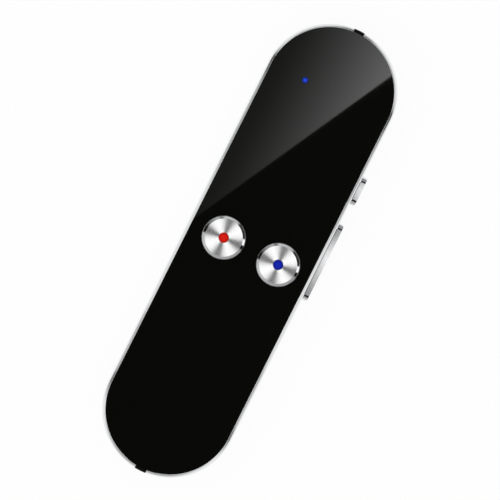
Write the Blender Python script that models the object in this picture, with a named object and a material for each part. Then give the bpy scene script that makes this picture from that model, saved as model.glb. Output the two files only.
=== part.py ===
"""Handheld translator: a slim stadium-shaped case with two round keys on its face.

Lengths are in metres. The case lies on its back: X points to the side keys, Y along the case
towards the status light, and Z out of the face. The origin is the middle of the flat back.
Positions are worked out from the outside in: the front stack hangs from the case's thickness, the
back stack stands on the rear cover, and the side keys stand on the band's inner wall.
"""
import math

import bmesh
import bpy

# Case
CASE_WIDTH = 0.0390
CASE_LENGTH = 0.1402
CASE_THICKNESS = 0.0110
CASE_RADIUS = CASE_WIDTH / 2
END_CENTRE = CASE_LENGTH / 2 - CASE_RADIUS

# Gaps, and how far cutters and unions run past a face
SEAT_GAP = 0.0003
GLUE_GAP = 0.0001
INSERT_GAP = 0.00015
CUT_OVERRUN = 0.0008
UNION_OVERLAP = 0.0003
WELD_DISTANCE = 0.000001

# Facets round a case end, a key, the speaker, a small round piece and a hole, and along a lead
END_STEPS = 32
KEY_STEPS = 48
SPEAKER_STEPS = 32
ROUND_STEPS = 20
HOLE_STEPS = 12
LEAD_STEPS = 4
LEAD_SIDES_LEVEL = 1
SHARP_DEGREES = 30
DOME_SHARES = (0.75, 0.5, 0.25)

# Side band: a wall with a lip and a chamfer at both faces, slightly crowned
BAND_WALL = 0.00108
BAND_LIP = 0.00051
BAND_LIP_FALL = 0.00007
BAND_CHAMFER_HEIGHT = 0.00045
BAND_CROWN = 0.00020
BAND_CROWN_SHARES = (0.0, 0.25, 0.5, 0.75, 1.0)
BAND_INNER = CASE_RADIUS - BAND_WALL
LUG_LENGTH = 0.0060
LUG_THICKNESS = 0.0008
LUG_REACH = 0.0008
LUG_PLACE_SHARES = (-0.8, -0.35, 0.9)

# Front panel, mid frame and rear cover, which all lie inside the band
SHELL_RADIUS = BAND_INNER - SEAT_GAP
SHELL_WALL = 0.0009
SHELL_INNER = SHELL_RADIUS - SHELL_WALL
PANEL_RECESS = 0.00015
PANEL_THICKNESS = 0.00085
PANEL_EDGE = 0.00015
PANEL_TOP = CASE_THICKNESS - PANEL_RECESS
PANEL_BOTTOM = PANEL_TOP - PANEL_THICKNESS
WEB_THICKNESS = 0.0010
WEB_TOP = PANEL_BOTTOM - SEAT_GAP
WEB_BOTTOM = WEB_TOP - WEB_THICKNESS
COVER_FLOOR = 0.0012
COVER_WALL_TOP = 0.0057
COVER_EDGE = 0.0003
LUG_BOTTOM = COVER_WALL_TOP + SEAT_GAP
LUG_TOP = LUG_BOTTOM + LUG_THICKNESS
SKIRT_BOTTOM = LUG_TOP + SEAT_GAP

# Main board and the screws that hold it to the mid frame
BOARD_ROOM = 0.0016
BOARD_THICKNESS = 0.0008
BOARD_EDGE_CLEARANCE = 0.0010
BOARD_TOP = WEB_BOTTOM - BOARD_ROOM
BOARD_BOTTOM = BOARD_TOP - BOARD_THICKNESS
BOARD_RADIUS = SHELL_INNER - BOARD_EDGE_CLEARANCE
SCREW_RADIUS = 0.0007
SCREW_HEAD_RADIUS = 0.0013
SCREW_HEAD_HEIGHT = 0.0006
SCREW_CLEARANCE = 0.00025
SCREW_RECESS_RADIUS = 0.0006
SCREW_RECESS_DEPTH = 0.0003
SCREW_BITE = 0.0020
SCREW_END_CLEARANCE = 0.0002
BOSS_WALL = 0.0008
SCREW_FROM_EDGE = 0.0037
SCREW_CIRCLE = BOARD_RADIUS - SCREW_FROM_EDGE
LOWER_SCREW_DEGREES = 45
UPPER_SCREW_CLEARANCE = 0.00105
MIDDLE_SCREW_Y = 0.0105

# Round keys on the face
KEY_PITCH = 0.01727
KEY_PAIR_OFFSET = 0.000325
KEY_RADIUS = 0.00613
KEY_STAND = 0.00050
KEY_CHAMFER = 0.00060
KEY_CHAMFER_FALL = 0.00022
KEY_DISH = 0.00008
KEY_ROOF = 0.00090
KEY_WALL = 0.00080
KEY_GAP = 0.00022
KEY_TRAVEL = 0.00035
KEY_FLANGE = 0.00077
KEY_FLANGE_THICKNESS = 0.00050
KEY_TAB_WIDTH = 0.0016
KEY_TAB_REACH = 0.0008
KEY_BOSS_RADIUS = 0.0016
DOT_RADIUS = 0.00148
DOT_GAP = 0.00015
DOT_RECESS = 0.00035
DOT_STAND = 0.00006
DOT_CROWN = 0.00016
KEY_TOP = PANEL_TOP + KEY_STAND
FLANGE_TOP = PANEL_BOTTOM - SEAT_GAP
FLANGE_BOTTOM = FLANGE_TOP - KEY_FLANGE_THICKNESS
FLANGE_RADIUS = KEY_RADIUS + KEY_FLANGE
RED_KEY_X = KEY_PAIR_OFFSET - KEY_PITCH / 2
BLUE_KEY_X = KEY_PAIR_OFFSET + KEY_PITCH / 2

# Switches below the round keys
SWITCH_SIDE = 0.0060
SWITCH_HEIGHT = 0.00115
SWITCH_COVER = 0.00025
SWITCH_FLOOR = 0.00025
SWITCH_EDGE = 0.00020
SWITCH_PLUNGER_RADIUS = 0.0010
SWITCH_PLUNGER_FLANGE = 0.00030
SWITCH_PLUNGER_GAP = 0.00015
SWITCH_PLUNGER_STAND = 0.00045
SWITCH_LEG_WIDTH = 0.0008
SWITCH_LEG_REACH = 0.0006
SWITCH_LEG_THICKNESS = 0.00015
SWITCH_BOTTOM = BOARD_TOP + GLUE_GAP
SWITCH_TOP = SWITCH_BOTTOM + SWITCH_HEIGHT
PLUNGER_TOP = SWITCH_TOP + SWITCH_PLUNGER_STAND
KEY_BOSS_TIP = PLUNGER_TOP + GLUE_GAP

# Side keys and the switches behind them
POWER_KEY_Y = 0.02895
POWER_KEY_LENGTH = 0.0090
VOLUME_KEY_Y = 0.0063
VOLUME_KEY_LENGTH = 0.0244
VOLUME_STEM_OFFSET = 0.0075
VOLUME_ROCK_DEGREES = 1.5
SIDE_KEY_HEIGHT = 0.0036
SIDE_KEY_STAND = 0.0014
SIDE_KEY_CHAMFER = 0.00030
SIDE_KEY_GAP = 0.00025
SIDE_KEY_TRAVEL = 0.00030
SIDE_FLANGE_REACH = 0.00050
SIDE_FLANGE_THICKNESS = 0.00070
SIDE_FLANGE_PLAY = 0.00012
VOLUME_SWING = (VOLUME_KEY_LENGTH / 2 + SIDE_FLANGE_REACH) * math.sin(math.radians(VOLUME_ROCK_DEGREES))
SIDE_STEM_LENGTH = 0.00050
SIDE_STEM_WIDTH = 0.0016
SIDE_STEM_HEIGHT = 0.0012
SIDE_SWITCH_WIDTH = 0.0047
SIDE_SWITCH_DEPTH = 0.0024
SIDE_SWITCH_HEIGHT = 0.0016
SIDE_SWITCH_EDGE = 0.00015
SIDE_PLUNGER_WIDTH = 0.0018
SIDE_PLUNGER_HEIGHT = 0.0008
SIDE_PLUNGER_LENGTH = 0.0016
SIDE_PLUNGER_STAND = 0.00055
SIDE_PLUNGER_GAP = 0.00015
SIDE_PLUNGER_ROOM = SIDE_KEY_TRAVEL + GLUE_GAP
SIDE_KEY_Z = BOARD_BOTTOM - GLUE_GAP - SIDE_SWITCH_HEIGHT / 2
SIDE_FLANGE_OUT = BAND_INNER - VOLUME_SWING - SIDE_FLANGE_PLAY
SIDE_FLANGE_IN = SIDE_FLANGE_OUT - SIDE_FLANGE_THICKNESS
SIDE_STEM_TIP = SIDE_FLANGE_IN - SIDE_STEM_LENGTH
SIDE_PLUNGER_TIP = SIDE_STEM_TIP - GLUE_GAP
SIDE_SWITCH_FRONT = SIDE_PLUNGER_TIP - SIDE_PLUNGER_STAND
VOLUME_UP_Y = VOLUME_KEY_Y + VOLUME_STEM_OFFSET
VOLUME_DOWN_Y = VOLUME_KEY_Y - VOLUME_STEM_OFFSET
PIVOT_NUB_RADIUS = 0.00040
PIVOT_NUB_STAND = 0.00025
PIVOT_SEAT_DEPTH = 0.00025
PIVOT_RIB_THICKNESS = 0.00080
PIVOT_RIB_WIDTH = 0.0020
PIVOT_RIB_BELOW_KEY = 0.0010
PIVOT_CLEARANCE = 0.00010
PIVOT_X = SIDE_FLANGE_IN - PIVOT_NUB_STAND
PIVOT_RIB_OUT = PIVOT_X - PIVOT_NUB_RADIUS - PIVOT_CLEARANCE + PIVOT_SEAT_DEPTH
PIVOT_RIB_IN = PIVOT_RIB_OUT - PIVOT_RIB_THICKNESS
BAY_CLEARANCE = 0.00035

# End inserts: the microphone's at the light's end, the charging port's at the other
INSERT_SLOT = 0.0034
INSERT_FOOT = 0.0016
INSERT_SINK = 0.00005
INSERT_FLANGE_REACH = 0.0008
INSERT_FLANGE_THICKNESS = 0.0007
INSERT_INNER = SHELL_INNER - SEAT_GAP - UNION_OVERLAP
INSERT_FLANGE_HALF = INSERT_SLOT / 2 + INSERT_FLANGE_REACH
INSERT_FLANGE_Y = END_CENTRE + math.sqrt((SHELL_INNER - SEAT_GAP) ** 2 - INSERT_FLANGE_HALF ** 2)
END_BAY_TOP = WEB_BOTTOM - SEAT_GAP
INSERT_STEP = END_BAY_TOP - SEAT_GAP
SOUND_HOLE_RADIUS = 0.0005

# Charging port
PORT_WIDTH = 0.0075
PORT_HEIGHT = 0.0025
PORT_LENGTH = 0.0050
PORT_SHELL = 0.00030
PORT_CORNER = 0.00060
PORT_SETBACK = 0.00070
PORT_GAP = 0.00025
PORT_SURROUND = 0.00070
TONGUE_WIDTH = 0.0037
TONGUE_THICKNESS = 0.00060
TONGUE_SETBACK = 0.00060
TONGUE_BLOCK = 0.0012
PORT_MOUTH = END_CENTRE + CASE_RADIUS - PORT_SETBACK
PORT_Z = BOARD_BOTTOM - GLUE_GAP - PORT_HEIGHT / 2

# Microphone in its rubber boot
BOOT_WALL = 0.00045
BOOT_LENGTH = 0.0026
BOOT_FACE = 0.0006
MICROPHONE_LENGTH = 0.0014
MICROPHONE_EDGE = 0.0002
BOOT_RADIUS = (BOARD_BOTTOM - COVER_FLOOR) / 2 - SEAT_GAP
BOOT_Z = (BOARD_BOTTOM + COVER_FLOOR) / 2
BOOT_FRONT = INSERT_FLANGE_Y - INSERT_FLANGE_THICKNESS - SEAT_GAP

# Battery
PAD_THICKNESS = 0.0004
PAD_MARGIN = 0.0020
BATTERY_SIDE_CLEARANCE = 0.0022
BATTERY_SWITCH_CLEARANCE = 0.0015
BATTERY_TAIL = 0.0045
BATTERY_EDGE = 0.0009
TRAY_RIB_THICKNESS = 0.0008
TRAY_RIB_HEIGHT = 0.0016
TRAY_RIB_INSET = 0.0030
PAD_BOTTOM = COVER_FLOOR + GLUE_GAP
BATTERY_BOTTOM = PAD_BOTTOM + PAD_THICKNESS + GLUE_GAP
BATTERY_TOP = BOARD_BOTTOM - SEAT_GAP
BATTERY_HALF_WIDTH = SHELL_INNER - BATTERY_SIDE_CLEARANCE
BATTERY_LOW = -END_CENTRE - BATTERY_TAIL
BATTERY_HIGH = VOLUME_DOWN_Y - SIDE_SWITCH_WIDTH / 2 - BATTERY_SWITCH_CLEARANCE
CONNECTOR_WIDTH = 0.0045
CONNECTOR_LENGTH = 0.0032
CONNECTOR_HEIGHT = 0.0016
CONNECTOR_AHEAD = 0.0080
CONNECTOR_X = -0.0040
CONNECTOR_EDGE = 0.0002
LEAD_RADIUS = 0.00038
LEAD_SPACING = 0.0016

# Speaker, which faces the back
SPEAKER_Y = 0.0420
SPEAKER_RADIUS = 0.0100
SPEAKER_RIM = 0.0012
SPEAKER_HEIGHT = 0.0022
SPEAKER_BACK = 0.0006
SPEAKER_GASKET = 0.0004
SPEAKER_GASKET_WIDTH = 0.0014
MAGNET_RADIUS = 0.0066
MAGNET_CLEARANCE = 0.0003
MAGNET_EDGE = 0.0003
DIAPHRAGM_THICKNESS = 0.00015
DIAPHRAGM_DOME = 0.0045
DIAPHRAGM_DOME_RISE = 0.0005
DIAPHRAGM_LIFT = 0.0002
SPEAKER_FENCE_GAP = 0.0003
SPEAKER_FENCE_WALL = 0.0008
SPEAKER_FENCE_HEIGHT = 0.0020
GRILLE_HOLE_RADIUS = 0.00055
GRILLE_PITCH = 0.0019
GRILLE_RINGS = 2
GRILLE_FIRST_RING = 6
MESH_THICKNESS = 0.00015
MESH_MARGIN = 0.0010
GASKET_BOTTOM = COVER_FLOOR + GLUE_GAP
SPEAKER_BOTTOM = GASKET_BOTTOM + SPEAKER_GASKET + GLUE_GAP
SPEAKER_TOP = SPEAKER_BOTTOM + SPEAKER_HEIGHT
MAGNET_TOP = BOARD_BOTTOM - SEAT_GAP
SPEAKER_LEAD_X = 0.0012
SPEAKER_LEAD_RUN = 0.0045

# Status light
LIGHT_X = -0.00764
LIGHT_Y = 0.0504
LIGHT_RADIUS = 0.00085
LIGHT_GAP = 0.00015
LIGHT_STAND = 0.00005
LIGHT_CROWN = 0.00012
LIGHT_FLANGE = 0.00070
LIGHT_FLANGE_THICKNESS = 0.00030
LED_SIDE = 0.0016
LED_HEIGHT = 0.0006
LED_EDGE = 0.0001

# Chips and shield on the board's front
PROCESSOR_SIDE = 0.0110
MEMORY_WIDTH = 0.0100
MEMORY_LENGTH = 0.0080
CHIP_HEIGHT = 0.0006
CHIP_EDGE = 0.0001
CHIP_SPACING = 0.0020
SHIELD_SIDE_CLEARANCE = 0.0045
SHIELD_END_MARGIN = 0.0018
SHIELD_HEIGHT = 0.0012
SHIELD_WALL = 0.00020
SHIELD_EDGE = 0.00030
SHIELD_CORNER = 0.0010
SHIELD_TOP_Y = -0.0130
SHIELD_WIDTH = 2 * (BOARD_RADIUS - SHIELD_SIDE_CLEARANCE)
PROCESSOR_Y = SHIELD_TOP_Y - SHIELD_WALL - SHIELD_END_MARGIN - PROCESSOR_SIDE / 2
MEMORY_Y = PROCESSOR_Y - PROCESSOR_SIDE / 2 - CHIP_SPACING - MEMORY_LENGTH / 2
SHIELD_LOW_Y = MEMORY_Y - MEMORY_LENGTH / 2 - SHIELD_END_MARGIN - SHIELD_WALL
CRYSTAL_WIDTH = 0.0032
CRYSTAL_LENGTH = 0.0025
CRYSTAL_GAP = 0.0015
CRYSTAL_X = (SHIELD_WIDTH - CRYSTAL_WIDTH) / 2
CRYSTAL_Y = SHIELD_LOW_Y - CRYSTAL_GAP - CRYSTAL_LENGTH / 2
ANTENNA_WIDTH = 0.0070
ANTENNA_LENGTH = 0.0020
ANTENNA_FROM_EDGE = 0.0054
ANTENNA_DEGREES = 34
ANTENNA_CIRCLE = BOARD_RADIUS - ANTENNA_FROM_EDGE

# Finishes: colour, roughness and metallic value
CHROME = ((0.78, 0.79, 0.80), 0.12, 1.0)
SPUN_ALUMINIUM = ((0.72, 0.72, 0.73), 0.28, 1.0)
PLATED_STEEL = ((0.55, 0.55, 0.56), 0.30, 1.0)
BATTERY_FOIL = ((0.60, 0.61, 0.62), 0.35, 1.0)
GLOSS_BLACK = ((0.004, 0.004, 0.004), 0.08, 0.0)
SATIN_BLACK = ((0.010, 0.010, 0.011), 0.45, 0.0)
MOULDED_GREY = ((0.05, 0.05, 0.055), 0.55, 0.0)
DARK_PLASTIC = ((0.02, 0.02, 0.02), 0.50, 0.0)
RED_ENAMEL = ((0.61, 0.008, 0.004), 0.22, 0.0)
BLUE_ENAMEL = ((0.006, 0.014, 0.36), 0.22, 0.0)
BLUE_CLEAR = ((0.02, 0.06, 0.55), 0.15, 0.0)
BOARD_GREEN = ((0.01, 0.09, 0.04), 0.45, 0.0)
CONNECTOR_CREAM = ((0.80, 0.76, 0.62), 0.50, 0.0)
LED_WHITE = ((0.90, 0.90, 0.85), 0.40, 0.0)
CERAMIC = ((0.75, 0.73, 0.68), 0.50, 0.0)
DIAPHRAGM_FILM = ((0.20, 0.19, 0.17), 0.60, 0.0)
FOAM = ((0.06, 0.06, 0.06), 0.90, 0.0)
RUBBER = ((0.02, 0.02, 0.02), 0.80, 0.0)
LEAD_RED = ((0.50, 0.01, 0.01), 0.50, 0.0)
LEAD_BLACK = ((0.01, 0.01, 0.01), 0.50, 0.0)


def clear_scene():
    """Remove every object of the scene."""
    for obj in list(bpy.data.objects):
        bpy.data.objects.remove(obj, do_unlink=True)


def principled(name, finish):
    """Make a Principled material from a finish's colour, roughness and metallic value."""
    colour, roughness, metallic = finish
    material = bpy.data.materials.new(name)
    material.use_nodes = True
    shader = material.node_tree.nodes["Principled BSDF"]
    shader.inputs["Base Color"].default_value = (*colour, 1.0)
    shader.inputs["Roughness"].default_value = roughness
    shader.inputs["Metallic"].default_value = metallic
    return material


def add_object(name, data, finish=None, place=(0, 0, 0), parent=None):
    """Link a mesh or curve as a named object, with its own material, place and parent."""
    obj = bpy.data.objects.new(name, data)
    bpy.context.collection.objects.link(obj)
    obj.location = place
    obj.parent = parent
    if finish:
        data.materials.append(principled(name, finish))
    return obj


def solid(name, bm, finish=None, place=(0, 0, 0), parent=None, round_piece=True):
    """Turn a bmesh into a named object, smooth where it is round."""
    mesh = bpy.data.meshes.new(name)
    bm.to_mesh(mesh)
    bm.free()
    if round_piece:
        mesh.shade_smooth()
        mesh.set_sharp_from_angle(angle=math.radians(SHARP_DEGREES))
    return add_object(name, mesh, finish, place, parent)


def empty(name, place):
    """Add an empty that carries the pieces of one joint."""
    return add_object(name, None, place=place)


def hide_tool(tool):
    """Keep a cutter or a union's helper out of the model."""
    tool.hide_render = True
    tool.display_type = "WIRE"


def apply_tool(target, tool, operation):
    """Hide a tool object and work it on the target with a live Boolean."""
    hide_tool(tool)
    modifier = target.modifiers.new(tool.name, "BOOLEAN")
    modifier.operation = operation
    modifier.solver = "EXACT"
    modifier.object = tool


def combine(target, bm, operation, place=(0, 0, 0), parent=None):
    """Cut a bmesh from an object, join it on, or keep what they share."""
    tool = solid(f"{target.name}_tool", bm, place=place, parent=parent, round_piece=False)
    apply_tool(target, tool, operation)


def face_outwards(bm):
    """Point every face of a closed bmesh outwards. A deep recess can mislead the first operator."""
    bmesh.ops.recalc_face_normals(bm, faces=bm.faces[:])
    if bm.calc_volume(signed=True) < 0:
        bmesh.ops.reverse_faces(bm, faces=bm.faces[:])
    return bm


def loft(rings, closed=False):
    """A solid through rings of corners. The ends are filled, or joined to each other when closed."""
    bm = bmesh.new()
    levels = [[bm.verts.new(corner) for corner in ring] for ring in rings]
    pairs = list(zip(levels, levels[1:]))
    if closed:
        pairs.append((levels[-1], levels[0]))
    for lower, upper in pairs:
        for here, there in zip(range(len(lower)), [*range(1, len(lower)), 0]):
            bm.faces.new((lower[here], lower[there], upper[there], upper[here]))
    if not closed:
        bm.faces.new(levels[0])
        bm.faces.new(levels[-1])
    return face_outwards(bm)


def stadium(radius, centre, steps):
    """Corners, anticlockwise, of a stadium along Y with its half circles centred at +-centre."""
    corners = []
    for side in (1, -1):
        for step in range(steps + 1):
            turn = math.pi * step / steps + (0 if side > 0 else math.pi)
            corners.append((radius * math.cos(turn), side * centre + radius * math.sin(turn)))
    return corners


def stadium_levels(levels, centre=END_CENTRE, steps=END_STEPS, closed=False):
    """A solid whose outline is a stadium at each level, given as (radius, height)."""
    rings = [[(x, y, height) for x, y in stadium(radius, centre, steps)] for radius, height in levels]
    return loft(rings, closed)


def turned(profile, steps, closed=False):
    """A solid of revolution about Z. The profile runs from axis to axis, or is a closed ring."""
    bm = bmesh.new()
    verts = [bm.verts.new((radius, 0, height)) for radius, height in profile]
    edges = [bm.edges.new(pair) for pair in zip(verts, verts[1:])]
    if closed:
        edges.append(bm.edges.new((verts[-1], verts[0])))
    turn = {"axis": (0, 0, 1), "cent": (0, 0, 0), "angle": math.tau}
    bmesh.ops.spin(bm, geom=verts + edges, steps=steps, use_merge=True, **turn)
    bmesh.ops.remove_doubles(bm, verts=bm.verts[:], dist=WELD_DISTANCE)
    return face_outwards(bm)


def dome(radius, shoulder, rise):
    """Profile points of a domed top, from near its shoulder to the axis."""
    points = [(radius * share, shoulder + rise * (1 - share ** 2)) for share in DOME_SHARES]
    return points + [(0, shoulder + rise)]


def cylinder(radius, low, high, steps=ROUND_STEPS):
    """A plain cylinder about Z between two heights."""
    return turned([(0, low), (radius, low), (radius, high), (0, high)], steps)


def block(low, high, edge=0.0):
    """A box between two corners, with its edges bevelled when an edge width is given."""
    bm = bmesh.new()
    bmesh.ops.create_cube(bm, size=1.0)
    size = [b - a for a, b in zip(low, high)]
    middle = [(a + b) / 2 for a, b in zip(low, high)]
    bmesh.ops.scale(bm, vec=size, verts=bm.verts)
    bmesh.ops.translate(bm, vec=middle, verts=bm.verts)
    if edge:
        bmesh.ops.bevel(bm, geom=bm.edges[:], offset=edge, segments=1, profile=0.5, affect="EDGES")
    return bm


def centred_block(size_x, size_y, low, high, edge=0.0):
    """A box centred on Z, given its two sides and its two heights."""
    return block((-size_x / 2, -size_y / 2, low), (size_x / 2, size_y / 2, high), edge)


def cut_corner_block(half_x, low_y, high_y, corner, levels):
    """A block with cut corners, centred on X, with levels given as (inset, height)."""
    rings = []
    for inset, height in levels:
        x, near, far = half_x - inset, low_y + inset, high_y - inset
        sides = [(x, near + corner), (x, far - corner), (x - corner, far), (-x + corner, far)]
        sides += [(-x, far - corner), (-x, near + corner), (-x + corner, near), (x - corner, near)]
        rings.append([(side_x, side_y, height) for side_x, side_y in sides])
    return loft(rings)


def face_sideways(bm):
    """Turn a bmesh built along Z so that it points along +X."""
    spin = [[0, 0, 1, 0], [0, 1, 0, 0], [-1, 0, 0, 0], [0, 0, 0, 1]]
    for vert in bm.verts:
        vert.co = [sum(spin[row][col] * vert.co[col] for col in range(3)) for row in range(3)]
    return bm


def face_end(bm, sign):
    """Turn a bmesh built along Z so that it points along +Y or -Y, with its own Y upright."""
    for vert in bm.verts:
        x, y, z = vert.co
        vert.co = (-sign * x, sign * z, y)
    return bm


def merge_bodies(*parts):
    """Put several bmeshes into one, which is enough for a cutter."""
    whole = bmesh.new()
    for part in parts:
        mesh = bpy.data.meshes.new("scratch")
        part.to_mesh(mesh)
        part.free()
        whole.from_mesh(mesh)
        bpy.data.meshes.remove(mesh)
    return whole


def band_levels():
    """Section of the side band as (radius, height): lip, chamfer, crowned wall, chamfer, lip."""
    lip = BAND_INNER + BAND_LIP
    wall_low = BAND_CHAMFER_HEIGHT
    wall_high = CASE_THICKNESS - BAND_LIP_FALL - BAND_CHAMFER_HEIGHT
    levels = [(BAND_INNER, 0), (lip, 0)]
    for share in BAND_CROWN_SHARES:
        bulge = 1 - (2 * share - 1) ** 2
        radius = CASE_RADIUS - BAND_CROWN * (1 - bulge)
        levels.append((radius, wall_low + share * (wall_high - wall_low)))
    levels.append((lip, CASE_THICKNESS - BAND_LIP_FALL))
    levels.append((BAND_INNER, CASE_THICKNESS))
    return levels


def side_key_outline(length, reach):
    """Radius and half centre distance of a side key's outline, grown by a reach on all sides."""
    return SIDE_KEY_HEIGHT / 2 + reach, (length - SIDE_KEY_HEIGHT) / 2


def side_key_levels(length, levels):
    """A side key solid pointing along +X, with levels given as (reach, X)."""
    centre = side_key_outline(length, 0)[1]
    stations = [(side_key_outline(length, reach)[0], x) for reach, x in levels]
    return face_sideways(stadium_levels(stations, centre, HOLE_STEPS))


def insert_slot(sign, gap):
    """Cutter of the slot across the rim at one end, drawn in by a gap on each side."""
    low_y, high_y = END_CENTRE, END_CENTRE + CASE_RADIUS + CUT_OVERRUN
    half = INSERT_SLOT / 2 - gap
    ends = sorted((sign * low_y, sign * high_y))
    return block((-half, ends[0], INSERT_FOOT + gap), (half, ends[1], CASE_THICKNESS + CUT_OVERRUN))


def port_outline(half_x, half_z, low_y, high_y):
    """The charging port's outline, with cut lower corners, run between two places on Y."""
    corner = PORT_CORNER
    corners = [(half_x, half_z), (-half_x, half_z), (-half_x, -half_z + corner)]
    corners += [(-half_x + corner, -half_z), (half_x - corner, -half_z), (half_x, -half_z + corner)]
    return loft([[(x, y, PORT_Z + z) for x, z in corners] for y in (low_y, high_y)])


def port_window(reach):
    """Cutter round the charging port at the lower end, grown by a reach on all sides."""
    low_y = -END_CENTRE - CASE_RADIUS - CUT_OVERRUN
    return port_outline(PORT_WIDTH / 2 + reach, PORT_HEIGHT / 2 + reach, low_y, -END_CENTRE)


def lug_block(side, y, inner, outer):
    """One of the band's lugs, which the mid frame and the rear cover clamp."""
    ends = sorted((side * inner, side * outer))
    half = LUG_LENGTH / 2
    return block((ends[0], y - half, LUG_BOTTOM), (ends[1], y + half, LUG_TOP))


def build_band():
    """Side band: the chromed ring with its lips, lugs, key slots and end openings."""
    band = solid("side_band", stadium_levels(band_levels(), closed=True), CHROME)
    for share in LUG_PLACE_SHARES:
        for side in (1, -1):
            outer = BAND_INNER + UNION_OVERLAP
            lug = lug_block(side, share * END_CENTRE, BAND_INNER - LUG_REACH, outer)
            combine(band, lug, "UNION")
    for y, length in ((POWER_KEY_Y, POWER_KEY_LENGTH), (VOLUME_KEY_Y, VOLUME_KEY_LENGTH)):
        reach = SIDE_KEY_GAP
        slot = [(reach, BAND_INNER - CUT_OVERRUN), (reach, CASE_RADIUS + CUT_OVERRUN)]
        combine(band, side_key_levels(length, slot), "DIFFERENCE", (0, y, SIDE_KEY_Z))
    combine(band, insert_slot(1, 0), "DIFFERENCE")
    combine(band, insert_slot(-1, 0), "DIFFERENCE")
    combine(band, port_window(PORT_GAP + PORT_SURROUND), "DIFFERENCE")


def build_panel():
    """Front panel: the glossy face plate with holes for the keys and the light."""
    levels = [(SHELL_RADIUS, PANEL_BOTTOM), (SHELL_RADIUS, PANEL_TOP - PANEL_EDGE)]
    levels.append((SHELL_RADIUS - PANEL_EDGE, PANEL_TOP))
    panel = solid("front_panel", stadium_levels(levels), GLOSS_BLACK)
    low, high = PANEL_BOTTOM - CUT_OVERRUN, PANEL_TOP + CUT_OVERRUN
    for x in (RED_KEY_X, BLUE_KEY_X):
        combine(panel, cylinder(KEY_RADIUS + KEY_GAP, low, high, KEY_STEPS), "DIFFERENCE", (x, 0, 0))
    hole = cylinder(LIGHT_RADIUS + LIGHT_GAP, low, high)
    combine(panel, hole, "DIFFERENCE", (LIGHT_X, LIGHT_Y, 0))


def screw_places():
    """Where the five board screws stand: round the lower end, clear of the speaker, and midway."""
    turn = math.radians(LOWER_SCREW_DEGREES)
    lower_x = SCREW_CIRCLE * math.sin(turn)
    lower_y = -END_CENTRE - SCREW_CIRCLE * math.cos(turn)
    fence = SPEAKER_RADIUS + SPEAKER_FENCE_GAP + SPEAKER_FENCE_WALL
    reach = fence + SCREW_HEAD_RADIUS + UPPER_SCREW_CLEARANCE
    upper_y = SPEAKER_Y - math.sqrt(max(0, reach ** 2 - SCREW_CIRCLE ** 2))
    places = [(side * lower_x, lower_y) for side in (-1, 1)]
    places += [(side * SCREW_CIRCLE, upper_y) for side in (-1, 1)]
    return places + [(KEY_PAIR_OFFSET, MIDDLE_SCREW_Y)]


def key_bay(length):
    """Cutter of the bay that a side key's flange moves in, inside the band."""
    reach = SIDE_FLANGE_REACH + BAY_CLEARANCE
    levels = [(reach, SHELL_INNER - CUT_OVERRUN), (reach, SHELL_RADIUS + CUT_OVERRUN)]
    return side_key_levels(length, levels)


def end_bay(sign, low_z, high_z):
    """Cutter that lets an end insert pass the walls of the mid frame and the rear cover."""
    half = INSERT_SLOT / 2 + SEAT_GAP
    if sign < 0:
        half = PORT_WIDTH / 2 + PORT_GAP + PORT_SURROUND + SEAT_GAP
    ends = sorted((sign * (END_CENTRE + CASE_RADIUS / 2), sign * (END_CENTRE + CASE_RADIUS)))
    return block((-half, ends[0], low_z), (half, ends[1], high_z))


def boss_profile():
    """Profile of a screw boss that hangs from the web, with its blind pilot hole."""
    bore = SCREW_RADIUS + SCREW_CLEARANCE
    bore_top = BOARD_BOTTOM + SCREW_BITE + SCREW_END_CLEARANCE
    low, into_web = BOARD_TOP + GLUE_GAP, WEB_BOTTOM + UNION_OVERLAP
    profile = [(0, bore_top), (bore, bore_top), (bore, low), (bore + BOSS_WALL, low)]
    return profile + [(bore + BOSS_WALL, into_web), (0, into_web)]


def pivot_rib(reach, low, high):
    """The rib that carries the volume key's pivot, grown by a reach, between two heights."""
    half = PIVOT_RIB_WIDTH / 2 + reach
    corner = (PIVOT_RIB_IN - reach, VOLUME_KEY_Y - half, low)
    return block(corner, (PIVOT_RIB_OUT + reach, VOLUME_KEY_Y + half, high))


def build_mid_frame():
    """Mid frame: the web behind the panel, its skirt, the screw bosses and the pivot's rib."""
    levels = [(SHELL_INNER, WEB_BOTTOM), (SHELL_INNER, SKIRT_BOTTOM)]
    levels += [(SHELL_RADIUS, SKIRT_BOTTOM), (SHELL_RADIUS, WEB_TOP)]
    frame = solid("mid_frame", stadium_levels(levels), MOULDED_GREY)
    cut_mid_frame(frame)
    for x, y in screw_places():
        combine(frame, turned(boss_profile(), HOLE_STEPS), "UNION", (x, y, 0))
    rib_low = SIDE_KEY_Z - PIVOT_RIB_BELOW_KEY
    combine(frame, pivot_rib(0, rib_low, WEB_BOTTOM + UNION_OVERLAP), "UNION")
    seat_top = SIDE_KEY_Z + SIDE_STEM_HEIGHT / 2 + SEAT_GAP
    seat = cylinder(PIVOT_NUB_RADIUS + PIVOT_CLEARANCE, rib_low - CUT_OVERRUN, seat_top, HOLE_STEPS)
    combine(frame, seat, "DIFFERENCE", (PIVOT_X, VOLUME_KEY_Y, 0))


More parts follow.
